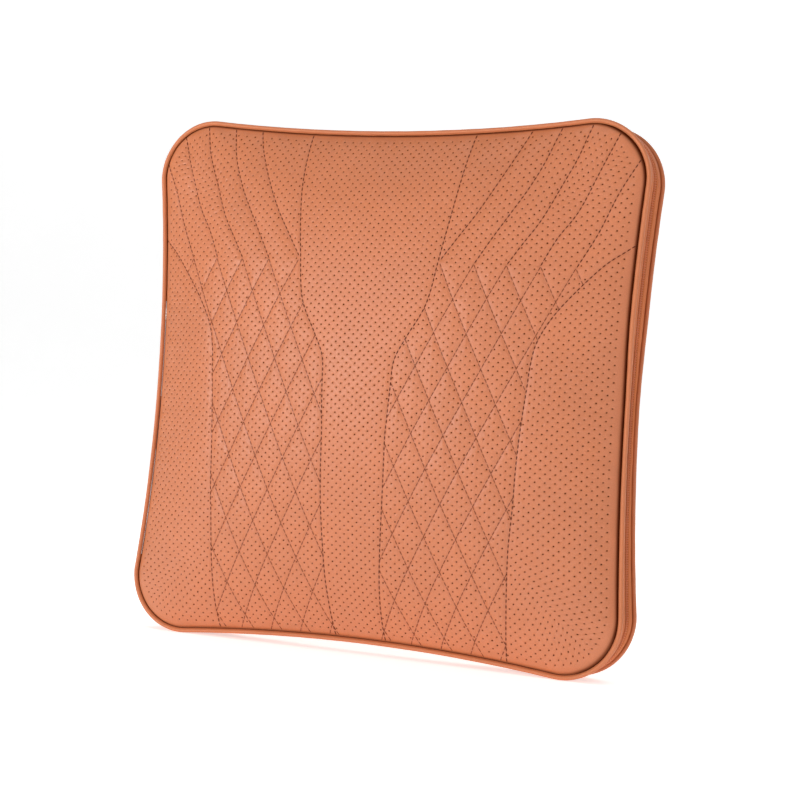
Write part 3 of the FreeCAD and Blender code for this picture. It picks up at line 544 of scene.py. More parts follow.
def cloth3d(name, base, scale=1300.0, rough=0.85, gain=0.3):
    """Knitted or non-woven cloth without UV."""
    m, nt, bs = new_mat(name)
    v = coords(nt)
    a = node(nt, "TexWave", wave_type="BANDS", bands_direction="X", Scale=scale * 0.32, Distortion=1.5, Detail=2.0)
    b = node(nt, "TexWave", wave_type="BANDS", bands_direction="Z", Scale=scale * 0.32, Distortion=1.5, Detail=2.0)
    nt.links.new(v, a.inputs["Vector"])
    nt.links.new(v, b.inputs["Vector"])
    w = maths(nt, "MULTIPLY", a.outputs["Fac"], b.outputs["Fac"])
    ns = node(nt, "TexNoise", Scale=30.0, Detail=5.0)
    nt.links.new(v, ns.inputs["Vector"])
    c = mixc(nt, w, tuple(k * (1 - gain) for k in base), base)
    c = mixc(nt, maths(nt, "MULTIPLY", ns.outputs[0], 0.3), c, tuple(k * 0.78 for k in base))
    nt.links.new(c, bs.inputs["Base Color"])
    bs.inputs["Roughness"].default_value = rough
    nt.links.new(bump(nt, w, 0.5, 0.0003), bs.inputs["Normal"])
    bs.inputs["Sheen Weight"].default_value = 0.25
    return m


def foamy(name, base, scale=650.0):
    m, nt, bs = new_mat(name)
    v = coords(nt)
    a = node(nt, "TexVoronoi", feature="F1", Scale=scale)
    b = node(nt, "TexVoronoi", feature="F1", Scale=scale * 2.7)
    n = node(nt, "TexNoise", Scale=14.0, Detail=5.0)
    for t in (a, b, n):
        nt.links.new(v, t.inputs["Vector"])
    h = maths(nt, "ADD", maths(nt, "MULTIPLY", a.outputs[0], 0.7), maths(nt, "MULTIPLY", b.outputs[0], 0.3))
    c = mixc(nt, ramp(nt, h, [(0.12, (0, 0, 0)), (0.5, (1, 1, 1))]), tuple(k * 0.66 for k in base), base)
    c = mixc(nt, maths(nt, "MULTIPLY", n.outputs[0], 0.35), c, tuple(k * 0.82 for k in base))
    nt.links.new(c, bs.inputs["Base Color"])
    bs.inputs["Roughness"].default_value = 0.95
    bs.inputs["Specular IOR Level"].default_value = 0.2
    nt.links.new(bump(nt, h, 0.7, 0.0008), bs.inputs["Normal"])
    return m


M_PANEL = leather("leather_perforated", grain=1.3, holes=True)
M_REAR = leather("leather_plain", grain=1.4, crease_shade=True)
M_WELT = leather("leather_welt", base=(0.570, 0.172, 0.061), rough=0.46, grain=0.8, spec=0.5)
M_STRIP = leather("leather_strip", base=(0.560, 0.152, 0.046), rough=0.62, grain=1.1, spec=0.12)
M_THREAD = plastic("thread", (0.215, 0.050, 0.018), rough=0.66, grain=1.2, scale=2600.0, tint=0.2, spec=0.3)
M_THREAD_B = plastic("thread_heavy", (0.125, 0.026, 0.010), rough=0.66, grain=1.2, scale=2600.0, tint=0.2, spec=0.2)
# painted shade: near-black finish for small discs that stand for the shadow in the needle holes
M_NEEDLE_SHADE = plastic("needle_hole_shade", (0.060, 0.014, 0.005), rough=0.85, grain=0.4, spec=0.15)
M_TAPE = woven("zip_tape_weave", (0.235, 0.060, 0.022))
M_COIL = plastic("zip_coil_nylon", (0.600, 0.172, 0.064), rough=0.52, grain=0.25, tint=0.25, spec=0.22)
M_LINING = cloth3d("lining_cloth", (0.090, 0.082, 0.078))
M_FOAM = foamy("cut_foam", (0.60, 0.56, 0.44))
M_WADDING = foamy("wadding_foam", (0.70, 0.69, 0.66), 900.0)

SLOT_MATS = {
    "zip_metal": plastic("zip_zinc", (0.50, 0.47, 0.44), rough=0.30, grain=0.3, metallic=1.0),
    "case_plastic": plastic("case_shell", (0.040, 0.041, 0.044), rough=0.52, grain=0.9, scale=1400.0),
    "steel": plastic("turned_steel", (0.56, 0.56, 0.57), rough=0.28, grain=0.5, metallic=1.0, streak=(1, 6, 1)),
    "bronze": plastic("sintered_bronze", (0.50, 0.30, 0.13), rough=0.42, grain=0.9, metallic=1.0),
    "gear_plastic": plastic("acetal_gear", (0.74, 0.72, 0.66), rough=0.36, grain=0.3, tint=0.05),
    "arm_plastic": plastic("glass_filled_nylon", (0.075, 0.077, 0.082), rough=0.5, grain=1.0, scale=1800.0),
    "head_plastic": plastic("head_elastomer", (0.30, 0.085, 0.050), rough=0.55, grain=0.6, scale=1300.0, tint=0.12),
    "motor_metal": plastic("zinc_plated_can", (0.47, 0.47, 0.46), rough=0.33, grain=0.5, metallic=1.0, streak=(5, 1, 1)),
    "brass": plastic("cut_brass", (0.72, 0.50, 0.20), rough=0.27, grain=0.4, metallic=1.0),
    "black_plastic": plastic("socket_black", (0.020, 0.020, 0.021), rough=0.4, grain=0.5),
    "button_plastic": plastic("button_satin", (0.58, 0.56, 0.53), rough=0.4, grain=0.4),
    "board": plastic("solder_mask", (0.012, 0.115, 0.052), rough=0.34, grain=0.3, tint=0.2),
    "leather": M_STRIP,
    "piping": M_WELT,
    "zip_tape": M_TAPE,
    "zip_coil": M_COIL,
}
# each CAD node that stays takes the finish of its slot in the record
SLOT = {p["node"]: p["material_slot"] for p in frame["record"]["subparts"]}
SOFT = {
    "front_panel", "quilting_foam", "panel_lining", "rear_panel", "front_piping", "rear_piping",
    "zip_tape_front", "zip_tape_rear", "zip_coil_front", "zip_coil_rear", "hinge_strip", "foam_core",
    "gusset_front", "gusset_rear",
}
for name, ob in NODES.items():
    if name in SOFT:
        continue
    ob.data.materials.clear()
    ob.data.materials.append(SLOT_MATS[SLOT[name]])


def piece(ob, body, slot, *nodes):
    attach(ob, body)
    if nodes:
        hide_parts(*nodes)
    return ob


def row(u, v, y):
    return np.c_[u, y, v + ZC]


# ---------------------------------------------------------------- front panel: perforated, quilted leather
# four cloth steps between hole columns and four between hole rows; holes sit on alternate crossings
NC, NR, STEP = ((448, 496, 8))
HC = 4
u, v, rho = square_map(NR + 1, NC + 1)
dent, dist = quilt(u, v)
rim_fade = smooth((1 - rho) / 0.02)
y = face_y(u, v, -1) + dent * (0.35 + 0.65 * smooth((1 - rho) / 0.05)) * rim_fade
y = y - billows(u, v, 5, 0.55) + ripples(u, v, 11)
jj, ii = np.divmod(np.arange(len(u)), NC + 1)
nr, nc = NR + 1, NC + 1
# perforations: real pits dented into the surface, with a mask the material uses to paint them dark as their shade
hole = np.zeros(len(u))
on = (ii % HC == 0) & (jj % HC == 0) & ((ii // HC + jj // HC) % 2 == 0)
on &= (ii > HC) & (ii < NC - HC) & (jj > HC) & (jj < NR - HC)
hc = np.nonzero(on)[0]
hc = hc[(dist[hc] > 1.25)]
uu, vv = u.copy(), v.copy()
size = rng.uniform(0.30, 0.45, len(hc))
deep = rng.uniform(0.75, 1.0, len(hc))
y0 = y[hc].copy()
for di, dj in [(-1, -1), (0, -1), (1, -1), (1, 0), (1, 1), (0, 1), (-1, 1), (-1, 0)]:
    k = hc + di + dj * nc
    du, dv = u[k] - u[hc], v[k] - v[hc]
    ln = np.hypot(du, dv)
    slope = (y[k] - y0) / ln
    uu[k] = u[hc] + du / ln * size
    vv[k] = v[hc] + dv / ln * size
    y[k] = y0 + slope * size + 0.10
    hole[k] = 0.97
y[hc] = y0 + 0.95 * deep
hole[hc] = 1.0
u, v = uu, vv
# mask for the painted groove shade along the quilting lines
seam = np.exp(-((dist / 0.9) ** 2))
fromrim = (1 - rho) * 193
# painted shade: mask for darkening the leather along its sewn edge, standing for the shadow in the crease at the welt;
# stronger and wider along the right side, weaker along the bottom
rim_shade_side = 0.80 + 0.45 * smooth((u - 150) / 30) - 0.30 * smooth((-v - 150) / 30)
rim_shade = rim_shade_side * np.exp(-((fromrim / (0.9 + 0.5 * smooth((u - 150) / 30))) ** 2))
outer = row(u, v, y)
edge = ring_index(nr, nc)
co = [outer]
faces = [grid_faces(nr, nc)]
total = len(outer)
# the edge turns in under the welt
ang = np.arctan2(v[edge], u[edge])
last = edge
skirts = []
for inset, back in ((3.5, 0.5), (3.0, 1.9)):
    rr = radius_of(inset)(ang)
    p = np.c_[rr * np.cos(ang), rr * np.sin(ang)]
    yy = -welt_y(p[:, 0], p[:, 1]) + back
    co.append(row(p[:, 0], p[:, 1], yy))
    idx = total + np.arange(len(edge))
    total += len(edge)
    a, b = last, idx
    a2, b2 = np.roll(a, -1), np.roll(b, -1)
    faces.append(np.c_[a, b, b2, a2])
    last = idx
# inner face, coarser, joined to every STEP-th edge point
mr, mc = NR // STEP + 1, NC // STEP + 1
iu, iv, irho = square_map(mr, mc)
iy = face_y(iu, iv, -1) + 3.3 - billows(iu, iv, 5, 0.55)
inner = row(iu, iv, iy)
co.append(inner)
first_inner = total
total += len(inner)
faces.append(grid_faces(mr, mc, first_inner, flip=True))
ie = ring_index(mr, mc) + first_inner
faces = [f.tolist() for f in faces]
flat = [q for f in faces for q in f]
nE = len(edge)
assert nE == len(ie) * STEP, (nE, len(ie))
for k in range(len(ie)):
    fine = [int(last[(k * STEP + q) % nE]) for q in range(STEP + 1)]
    flat.append(fine + [int(ie[(k + 1) % len(ie)]), int(ie[k])])
co = np.vstack(co)
pad = np.zeros(len(co) - len(outer))
# painted shade: the two turned-in skirt rings are painted fully dark; the inner face is not
skirt_shade = np.r_[np.ones(2 * len(edge)), np.zeros(len(inner))]
front = build(
    "front_leather", co, flat, M_PANEL,
    points={"hole": np.r_[hole, pad], "seam": np.r_[seam, pad], "rim_shade": np.r_[rim_shade, skirt_shade]},
)
piece(front, "front_cover", "leather", "front_panel")


def front_at(p):
    """Outer surface of the quilted leather at flat positions."""
    d, _ = quilt(p[:, 0], p[:, 1])
    away = np.clip(1 - np.hypot(p[:, 0], p[:, 1]) / radius_of(RIM)(np.arctan2(p[:, 1], p[:, 0])), 0, 1)
    d = d * (0.35 + 0.65 * smooth(away / 0.05)) * smooth(away / 0.02)
    return face_y(p[:, 0], p[:, 1], -1) + d - billows(p[:, 0], p[:, 1], 5, 0.55) + ripples(p[:, 0], p[:, 1], 11)


# ---------------------------------------------------------------- quilting thread and needle holes
def ellipsoid(nu, nv):
    """Unit shape along x: points and faces."""
    pts = [(-1, 0, 0)]
    for i in range(1, nu):
        t = math.pi * i / nu
        for j in range(nv):
            a = 2 * math.pi * j / nv
            pts.append((-math.cos(t), math.sin(t) * math.cos(a), math.sin(t) * math.sin(a)))
    pts.append((1, 0, 0))
    f = []
    for j in range(nv):
        k = (j + 1) % nv
        f.append((0, 1 + k, 1 + j))
        for i in range(nu - 2):
            f.append((1 + i * nv + j, 1 + i * nv + k, 1 + (i + 1) * nv + k, 1 + (i + 1) * nv + j))
        e = 1 + (nu - 2) * nv
        f.append((e + j, e + k, len(pts) - 1))
    return np.array(pts), f


def scatter(name, centre, ax, bx, cx, shape, mat):
    """One mesh of many small shapes; ax, bx, cx are their half axes (n,3)."""
    pts, f = shape
    n = len(centre)
    co = centre[:, None] + pts[None, :, :1] * ax[:, None] + pts[None, :, 1:2] * bx[:, None] + pts[None, :, 2:] * cx[:, None]
    faces = []
    for i in range(n):
        o = i * len(pts)
        faces += [tuple(q + o for q in t) for t in f]
    return build(name, co.reshape(-1, 3), faces, mat)


PITCH = 3.9
cen, tan, pins, bold = [], [], [], []


def to_rim(line):
    """Carries a seam that ends close to the welt on, along its own direction, until it meets it."""
    line = [np.asarray(p, float) for p in line]
    for end in (0, -1):
        a, b = line[end], line[1 if end == 0 else -2]
        step = (a - b) / np.linalg.norm(a - b)
        gap = lambda p: radius_of(RIM)(np.array([math.atan2(p[1], p[0])]))[0] - math.hypot(*p)
        if not 1.0 < gap(a) < 16.0:
            continue
        p = a.copy()
        for _ in range(60):
            if gap(p) < 0.8:
                break
            p = p + step * 0.4
        if gap(p) < 0.9:
            line = [p] + line if end == 0 else line + [p]
    return np.array(line)


for line, power in SEAMS:
    q, length = resample(to_rim(line), 0.5)
    n = max(1, int(length // PITCH))
    s = np.r_[0, np.cumsum(np.hypot(*np.diff(q, axis=0).T))]
    at = (np.arange(n) + 0.5) * length / n
    mid = np.c_[np.interp(at, s, q[:, 0]), np.interp(at, s, q[:, 1])]
    fwd = np.c_[np.interp(at + 0.6, s, q[:, 0]), np.interp(at + 0.6, s, q[:, 1])] - np.c_[np.interp(at - 0.6, s, q[:, 0]), np.interp(at - 0.6, s, q[:, 1])]
    cen.append(mid)
    bold.append(np.full(n, power > 0.95))
    tan.append(fwd / np.linalg.norm(fwd, axis=1)[:, None])
    for end in (at - 1.25, at + 1.25):
        pins.append(np.c_[np.interp(end, s, q[:, 0]), np.interp(end, s, q[:, 1])])
cen, tan, pins = np.vstack(cen), np.vstack(tan), np.vstack(pins)
ya, yb = front_at(cen - tan * 1.3), front_at(cen + tan * 1.3)
mid3 = row(cen[:, 0], cen[:, 1], (ya + yb) / 2 - 0.16)
half_len = 1.20
ax = np.c_[tan[:, 0] * half_len, (yb - ya) / 2.6 * half_len, tan[:, 1] * half_len]
nrm = np.array([0, -1.0, 0])[None].repeat(len(ax), 0)
side = np.cross(ax, nrm)
side = side / np.linalg.norm(side, axis=1)[:, None]
up = np.cross(side, ax)
up = up / np.linalg.norm(up, axis=1)[:, None]
bold = np.concatenate(bold)
thin = ~bold
thread = scatter("quilting_thread", mid3[thin], ax[thin], side[thin] * 0.38, up[thin] * 0.34, ellipsoid(6, 6), M_THREAD)
piece(thread, "front_cover", "piping")
thread_b = scatter("fan_thread", mid3[bold], ax[bold], side[bold] * 0.50, up[bold] * 0.42, ellipsoid(6, 6), M_THREAD_B)
piece(thread_b, "front_cover", "piping")


def slope_at(p, fn, h=0.8):
    gu = (fn(p + [h, 0]) - fn(p - [h, 0])) / (2 * h)
    gv = (fn(p + [0, h]) - fn(p - [0, h])) / (2 * h)
    n = np.c_[gu, -np.ones(len(p)), gv]
    return n / np.linalg.norm(n, axis=1)[:, None]


def plain_at(p):
    return face_y(p[:, 0], p[:, 1], -1)


# needle holes: dark discs set just proud of the leather at the stitch ends, painted shade for the punctures
pn = slope_at(pins, plain_at)
pa = np.cross(pn, [0, 0, 1.0])
pa /= np.linalg.norm(pa, axis=1)[:, None]
pb = np.cross(pn, pa)
pc = row(pins[:, 0], pins[:, 1], front_at(pins)) + pn * 0.05
needles = scatter("needle_holes", pc, pn * 0.14, pa * 0.30, pb * 0.30, ellipsoid(4, 8), M_NEEDLE_SHADE)
piece(needles, "front_cover", "piping")


# ---------------------------------------------------------------- layers behind the leather
def slab(name, inset, out_off, in_off, mat, n=60, sign=-1, depth=38.5, seed=5, quilted=0.5):
    """A closed cushioned layer that follows the face, from out_off to in_off behind it."""
    u, v, rho = square_map(n + 1, n + 1, inset)
    d, _ = quilt(u, v) if sign < 0 else (0 * u, 0)
    r7 = rad(np.arctan2(v, u))
    base = face_y(u, v, sign, depth)
    y1 = base - sign * out_off + (quilted * d if sign < 0 else 0)
    y2 = base - sign * in_off
    a, b = row(u, v, y1), row(u, v, y2)
    e = ring_index(n + 1, n + 1)
    f = [grid_faces(n + 1, n + 1), grid_faces(n + 1, n + 1, len(a), flip=True), np.c_[e, e + len(a), np.roll(e, -1) + len(a), np.roll(e, -1)]]
    ob = build(name, np.vstack([a, b]), np.vstack(f).tolist(), mat)
    return recalc(ob)


wad = slab("quilt_wadding", 7.0, 3.8, 5.2, M_WADDING, quilted=0.4)
piece(wad, "front_cover", "quilt_foam", "quilting_foam")
lining = slab("lining_cloth", 6.0, 5.9, 6.6, M_LINING, quilted=0.0)
piece(lining, "front_cover", "lining", "panel_lining")


def area_of(ob):
    me = ob.data
    a = np.empty(len(me.polygons), np.float32)
    me.polygons.foreach_get("area", a)
    return float(a.sum())


cloth = math.sqrt(area_of(lining) / 2)
print("lining cloth side, m:", round(cloth, 4))


# ---------------------------------------------------------------- rear panel
RN = 176
u, v, rho = square_map(RN + 1, RN + 1)
y = face_y(u, v, 1) + billows(u, v, 9, 0.8) + ripples(u, v, 23, size=0.5, reach=22)
outer = row(u, v, y)
# painted shade: mask darkening the rear leather along its sewn edge, as the shadow in the crease at the welt
rear_rim_shade = np.exp(-(((1 - rho) * 190 / 1.2) ** 2))
edge = ring_index(RN + 1, RN + 1)
ang = np.arctan2(v[edge], u[edge])
co, faces, total, last = [outer], [grid_faces(RN + 1, RN + 1, flip=True)], len(outer), edge
for inset, back in ((3.5, 0.5), (3.0, 1.9)):
    rr = radius_of(inset)(ang)
    p = np.c_[rr * np.cos(ang), rr * np.sin(ang)]
    co.append(row(p[:, 0], p[:, 1], welt_y(p[:, 0], p[:, 1]) - back))
    idx = total + np.arange(len(edge))
    total += len(edge)
    faces.append(np.c_[last, np.roll(last, -1), np.roll(idx, -1), idx])
    last = idx
inner_y = face_y(u, v, 1) - 1.4
inner = row(u, v, inner_y)
co.append(inner)
faces.append(grid_faces(RN + 1, RN + 1, total))
ie = edge + total
faces.append(np.c_[last, np.roll(last, -1), np.roll(ie, -1), ie])
total += len(inner)
n_extra = total - len(outer)
# painted shade: the turned-in skirt rings of the rear leather are painted fully dark
rear = build("rear_leather", np.vstack(co), np.vstack(faces).tolist(), M_REAR, points={"rim_shade": np.r_[rear_rim_shade, np.ones(2 * len(edge)), np.zeros(n_extra - 2 * len(edge))]})
piece(rear, "base", "leather", "rear_panel")


# ---------------------------------------------------------------- welts
def closed_path(inset, step):
    q, length = resample(outline(inset), step, closed=True)
    t = np.roll(q, -1, 0) - np.roll(q, 1, 0)
    t /= np.linalg.norm(t, axis=1)[:, None]
    return q, np.c_[t[:, 1], -t[:, 0]], length


def welt(name, sign, seed):
    q, nrm2, length = closed_path(1.65, 1.3)
    r = np.random.default_rng(seed)
    n = len(q)
    s = np.arange(n) / n * 2 * np.pi
    rad_v = 1.66 + sum(0.016 * np.sin(k * s + r.uniform(0, 6.28)) for k in r.integers(8, 90, 7))
    path = np.c_[q[:, 0], sign * welt_y(q[:, 0], q[:, 1]), q[:, 1] + ZC]
    nrm = np.c_[nrm2[:, 0], np.zeros(n), nrm2[:, 1]]
    m = 20
    a = np.linspace(0, 2 * np.pi, m, endpoint=False)

    def section(i):
        # round cord, with the two sewn layers leaving it as a short flange on the inner side
        rr = rad_v[i] * np.ones(m)
        x, yy = rr * np.cos(a), rr * np.sin(a)
        back = np.clip(-np.cos(a), 0, 1) ** 6
        x = x - back * 0.25
        yy = yy * (1 - 0.35 * back)
        return np.c_[x, yy]

    ob = sweep(name, path, nrm, section, M_WELT, closed=True)
    return recalc(ob)


wf = welt("front_welt", -1, 3)
piece(wf, "front_cover", "piping", "front_piping")
wr = welt("rear_welt", 1, 4)
piece(wr, "base", "piping", "rear_piping")


# ---------------------------------------------------------------- zip
def open_path(inset, v0, v1, step):
    """Along the outline from the left side at height v0, down and round by the right, to v1 on the left."""
    q, length = resample(outline(inset), 0.5, closed=True)
    left = (q[:, 0] < -A0)
    i0 = np.argmin(np.where(left, np.abs(q[:, 1] - v0), 1e9))
    q = np.roll(q, -i0, 0)
    left = (q[:, 0] < -A0)
    i1 = np.argmin(np.where(left & (np.arange(len(q)) > len(q) // 2), np.abs(q[:, 1] - v1), 1e9))
    q, length = resample(q[: i1 + 1], step)
    t = np.gradient(q, axis=0)
    t /= np.linalg.norm(t, axis=1)[:, None]
    return q, np.c_[t[:, 1], -t[:, 0]], t, length


V0, V1 = -143.0, 58.0


def tape(name, sign):
    q, n2, t2, length = open_path(4.3, V0, V1, 2.0)
    n = len(q)
    wy = welt_y(q[:, 0], q[:, 1])
    path = np.c_[q[:, 0], np.zeros(n), q[:, 1] + ZC]
    nrm = np.c_[n2[:, 0], np.zeros(n), n2[:, 1]]

    def section(i):
        # from beside the coil to under the welt, slightly hollow between, with a folded edge at the coil
        y0, y1 = 0.65, 6.4
        k = np.linspace(0, 1, 7)
        yy = y0 + (y1 - y0) * k
        x = 0.25 - 0.9 * np.sin(np.pi * k) ** 2 * 0.7
        outer = np.c_[x + 0.4, yy]
        inner = np.c_[x - 0.4, yy][::-1]
        p = np.vstack([outer, inner])
        return p * [1, sign]

    return recalc(sweep(name, path, nrm, section, M_TAPE, closed=False)), length


tf, tape_len = tape("zip_tape_front_weave", -1)
piece(tf, "front_cover", "zip_tape", "zip_tape_front")
tr, _ = tape("zip_tape_rear_weave", 1)
piece(tr, "base", "zip_tape", "zip_tape_rear")


def gusset(name, sign):
    """The leather band between welt and zip, folded under beside the tape."""
    q, n2, t2, length = open_path(2.6, V0, V1, 1.3)
    n = len(q)
    wy = welt_y(q[:, 0], q[:, 1])
    path = np.c_[q[:, 0], np.zeros(n), q[:, 1] + ZC]
    nrm = np.c_[n2[:, 0], np.zeros(n), n2[:, 1]]
    s = np.arange(n) * 1.3
    r = np.random.default_rng(60 + sign)
    wave = sum(r.uniform(0.4, 1) * np.sin(s * r.uniform(0.03, 0.22) + r.uniform(0, 6.28)) for _ in range(8)) * 0.05

    def section(i):
        y0, y1 = 4.55 + wave[i] * 0.6, wy[i] - 0.7
        k = np.linspace(0, 1, 9)
        yy = y0 + (y1 - y0) * k
        x = 0.40 + 0.40 * np.sin(np.pi * np.clip(k * 0.95 + 0.05, 0, 1)) ** 0.8 - 0.9 * k**3 + wave[i] * np.sin(np.pi * k)
        outer = np.c_[x, yy]
        fold = np.array([[-0.15, y0 - 0.45], [-0.95, y0 - 0.1]])
        inner = np.c_[x[1:] - 1.3, yy[1:] - 1.6 * k[1:] ** 4][::-1]
        p = np.vstack([fold[::-1][1:], outer, inner, fold[::-1][:1]])
        return p * [1, sign]

    return recalc(sweep(name, path, nrm, section, M_STRIP, closed=False))


gf = gusset("front_gusset_leather", -1)
piece(gf, "front_cover", "leather", "gusset_front")
gr = gusset("rear_gusset_leather", 1)
piece(gr, "base", "leather", "gusset_rear")


def coil(name, sign, shift):
    pitch = 1.75
    q, n2, t2, length = open_path(2.8, V0 + 2, V1 - 1, pitch)
    if shift:
        q = (q[:-1] + q[1:]) / 2
        n2, t2 = (n2[:-1] + n2[1:]) / 2, (t2[:-1] + t2[1:]) / 2
    n = len(q)
    c = np.c_[q[:, 0], np.full(n, sign * 1.30), q[:, 1] + ZC]
    N = np.c_[n2[:, 0], np.zeros(n), n2[:, 1]]
    T = np.c_[t2[:, 0], np.zeros(n), t2[:, 1]]
    Y = np.array([0, sign * 1.0, 0])[None].repeat(n, 0)
    lean = 0.30
    ax = (Y + T * lean) * 1.55
    bx = T * 0.50
    cx = N * 1.25
    ob = scatter(name, c, ax, bx, cx, ellipsoid(6, 8), M_COIL)
    return ob


cf = coil("zip_coil_front_loops", -1, False)
piece(cf, "front_cover", "zip_coil", "zip_coil_front")
cr = coil("zip_coil_rear_loops", 1, True)
piece(cr, "base", "zip_coil", "zip_coil_rear")


# ---------------------------------------------------------------- hinge strip: the leather left whole beside the zip
lo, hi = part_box("hinge_strip")
zs = np.linspace(lo.z / MM - 2.4, hi.z / MM + 2.5, 82)
ys = np.linspace(lo.y / MM, hi.y / MM, 25)
xo = -(CS - np.sqrt((RS + 3.2) ** 2 - (zs - ZC) ** 2))
co, m = [], len(ys)
hollow = 0.9 * np.cos(np.linspace(-1, 1, m) * np.pi / 2) ** 2
wrink = sum(0.10 * np.sin(k * zs[:, None] + 0.3 * ys[None] + p) for k, p in ((0.31, 0.4), (0.57, 2.0), (0.13, 4.0)))
for off in (0.0, 1.1):
    X = xo[:, None] + hollow[None] + wrink * (1 - np.abs(np.linspace(-1, 1, m))[None]) + off
    co.append(np.stack([X, ys[None].repeat(len(zs), 0), zs[:, None].repeat(m, 1)], -1).reshape(-1, 3))
e = ring_index(len(zs), m)
f = [grid_faces(len(zs), m), grid_faces(len(zs), m, len(zs) * m, flip=True), np.c_[e, e + len(zs) * m, np.roll(e, -1) + len(zs) * m, np.roll(e, -1)]]
strip = recalc(build("hinge_leather", np.vstack(co), np.vstack(f).tolist(), M_STRIP, uv=None))
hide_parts("hinge_strip")
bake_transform(strip)


# ---------------------------------------------------------------- foam core
def foam_piece():
    src = NODES["foam_core"]
    me = src.data.copy()
    ob = bpy.data.objects.new("foam_block", me)
    bpy.context.scene.collection.objects.link(ob)
    me.materials.clear()
    me.materials.append(M_FOAM)
    rm = ob.modifiers.new("remesh", "REMESH")
    rm.mode = "VOXEL"
    rm.voxel_size = 0.0028
    rm.use_smooth_shade = True
    sm = ob.modifiers.new("soften", "SMOOTH")
    sm.factor, sm.iterations = 0.5, 3
    dg = bpy.context.evaluated_depsgraph_get()
    new = bpy.data.meshes.new_from_object(ob.evaluated_get(dg))
    ob.modifiers.clear()
    ob.data = new
    n = len(new.vertices)
    co = np.empty(n * 3, np.float32)
    new.vertices.foreach_get("co", co)
    co = co.reshape(-1, 3)
    nr_ = np.empty(n * 3, np.float32)
    new.vertices.foreach_get("normal", nr_)
    nr_ = nr_.reshape(-1, 3)
    r = np.random.default_rng(41)
    d = np.zeros(n)
    for _ in range(24):
        k = r.normal(0, 1, 3)
        k *= r.uniform(60, 420) / np.linalg.norm(k)
        d += np.sin(co @ k + r.uniform(0, 6.28)) * r.uniform(0.4, 1)
    co = co - nr_ * (0.00035 + 0.00007 * d[:, None])
    # the stuffed block stays behind the lining and inside the back leather
    fu, fv = co[:, 0] / MM, co[:, 2] / MM - ZC
    back_y, front_y = face_y(fu, fv, 1) - 3.2, face_y(fu, fv, -1) + 8.2
    side = radius_of(8.5)(np.arctan2(fv, fu))
    r_now = np.hypot(fu, fv)
    pull = np.minimum(1.0, side / np.maximum(r_now, 1e-6))
    co[:, 0], co[:, 2] = fu * pull * MM, (fv * pull + ZC) * MM
    co[:, 1] = np.clip(co[:, 1] / MM, front_y, back_y) * MM
    new.vertices.foreach_set("co", co.ravel().astype(np.float32))
    new.materials.clear()
    new.materials.append(M_FOAM)
    new.polygons.foreach_set("use_smooth", np.full(len(new.polygons), True))
    new.update()
    return ob


foam = foam_piece()
piece(foam, "base", "foam", "foam_core")

# ---------------------------------------------------------------- floor, light and camera
def backdrop():
    """A plain pale sweep: floor that turns up into a wall behind."""
    prof = [(-6.0, 0.0), (3.0, 0.0)]
    for k in range(1, 13):
        a = math.pi / 2 * k / 12
        prof.append((3.0 + 2.0 * math.sin(a), 2.0 - 2.0 * math.cos(a)))
    prof.append((5.0, 7.0))
    xs = np.linspace(-9, 9, 19)
    co = np.array([(x, yy, z - 0.0002) for yy, z in prof for x in xs])
    me = bpy.data.meshes.new("floor")
    me.from_pydata(co.tolist(), [], grid_faces(len(prof), len(xs)).tolist())
    me.polygons.foreach_set("use_smooth", np.full(len(me.polygons), True))
    ob = bpy.data.objects.new("floor", me)
    bpy.context.scene.collection.objects.link(ob)
    m, nt, bs = new_mat("studio_paper")
    ns = node(nt, "TexNoise", Scale=3.0, Detail=2.0)
    nt.links.new(coords(nt), ns.inputs["Vector"])
    nt.links.new(mixc(nt, ns.outputs[0], (0.90, 0.90, 0.90), (0.94, 0.94, 0.94)), bs.inputs["Base Color"])
    bs.inputs["Roughness"].default_value = 0.9
    bs.inputs["Specular IOR Level"].default_value = 0.1
    bs.inputs["Emission Color"].default_value = (1, 1, 1, 1)
    bs.inputs["Emission Strength"].default_value = 0.56
    me.materials.append(m)


backdrop()


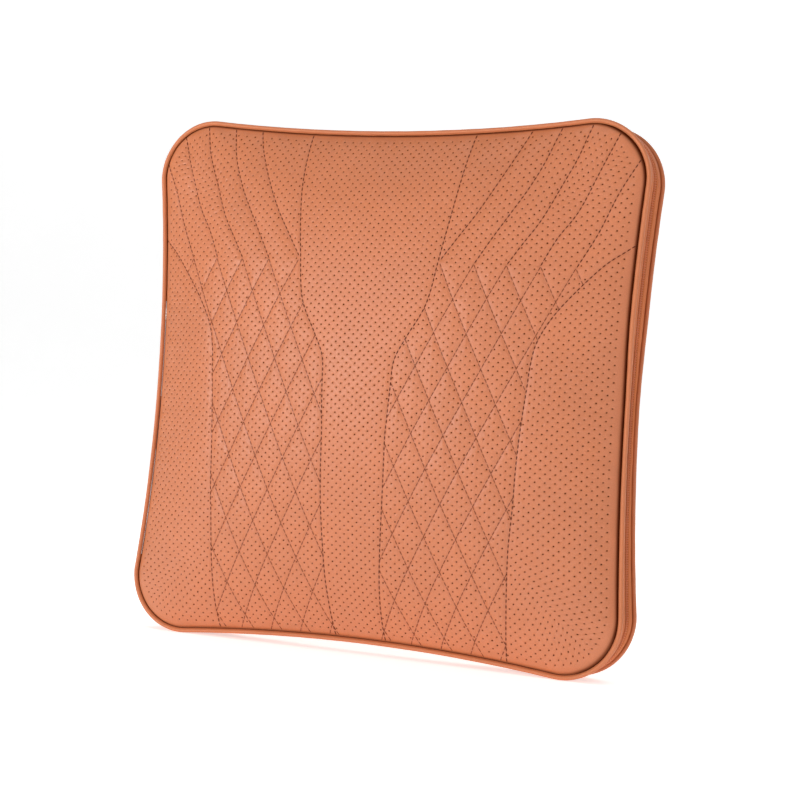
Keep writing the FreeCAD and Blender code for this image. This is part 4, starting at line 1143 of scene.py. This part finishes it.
def softbox(name, az, el, dist, w, h, power, target=(0, 0, 0.2), color=(1, 1, 1)):
    """az 0 is straight in front, positive towards +X."""
    a, e = math.radians(az), math.radians(el)
    t = Vector(target)
    p = t + Vector((math.sin(a) * math.cos(e), -math.cos(a) * math.cos(e), math.sin(e))) * dist
    L = bpy.data.lights.new(name, "AREA")
    L.shape, L.size, L.size_y, L.energy, L.color = "RECTANGLE", w, h, power, color
    ob = bpy.data.objects.new(name, L)
    bpy.context.scene.collection.objects.link(ob)
    ob.matrix_world = Matrix.Translation(p) @ (t - p).to_track_quat("-Z", "Y").to_matrix().to_4x4()
    return ob


softbox("key", -30, 2, 2.4, 1.3, 1.1, 40)
softbox("fill", 70, 14, 2.4, 1.6, 1.2, 8)
softbox("top", -10, 64, 2.2, 1.6, 0.9, 11)
softbox("back", 170, 30, 2.8, 2.0, 1.4, 20)

world = bpy.data.worlds.new("studio")
bpy.context.scene.world = world
world.use_nodes = True
bg = world.node_tree.nodes["Background"]
bg.inputs[0].default_value = (1, 1, 1, 1)
bg.inputs[1].default_value = 0.24

yaw, pitch, roll = 0.422076, -0.019957, 0.0676867
F_PX, DIST, CX, CZ = 1798.404, 1.358594, -11.424, -12.265
back = Vector((math.sin(yaw) * math.cos(pitch), -math.cos(yaw) * math.cos(pitch), math.sin(pitch)))
r0 = Vector((math.cos(yaw), math.sin(yaw), 0))
u0 = r0.cross(-back)
right = r0 * math.cos(roll) + u0 * math.sin(roll)
upv = -r0 * math.sin(roll) + u0 * math.cos(roll)
cam_data = bpy.data.cameras.new("camera")
cam_data.sensor_width = 36
cam_data.lens = F_PX / 800 * 36
cam_data.shift_x, cam_data.shift_y = -CX / 800, CZ / 800
cam_data.clip_end = 60
cam = bpy.data.objects.new("camera", cam_data)
bpy.context.scene.collection.objects.link(cam)
loc = back * DIST + Vector((0, 0.0025, 0.2))
cam.matrix_world = Matrix(((right.x, upv.x, back.x, loc.x), (right.y, upv.y, back.y, loc.y), (right.z, upv.z, back.z, loc.z), (0, 0, 0, 1)))
bpy.context.scene.camera = cam
vs = bpy.context.scene.view_settings
vs.view_transform, vs.look, vs.exposure, vs.gamma = "Standard", "None", 0.0, 1.0
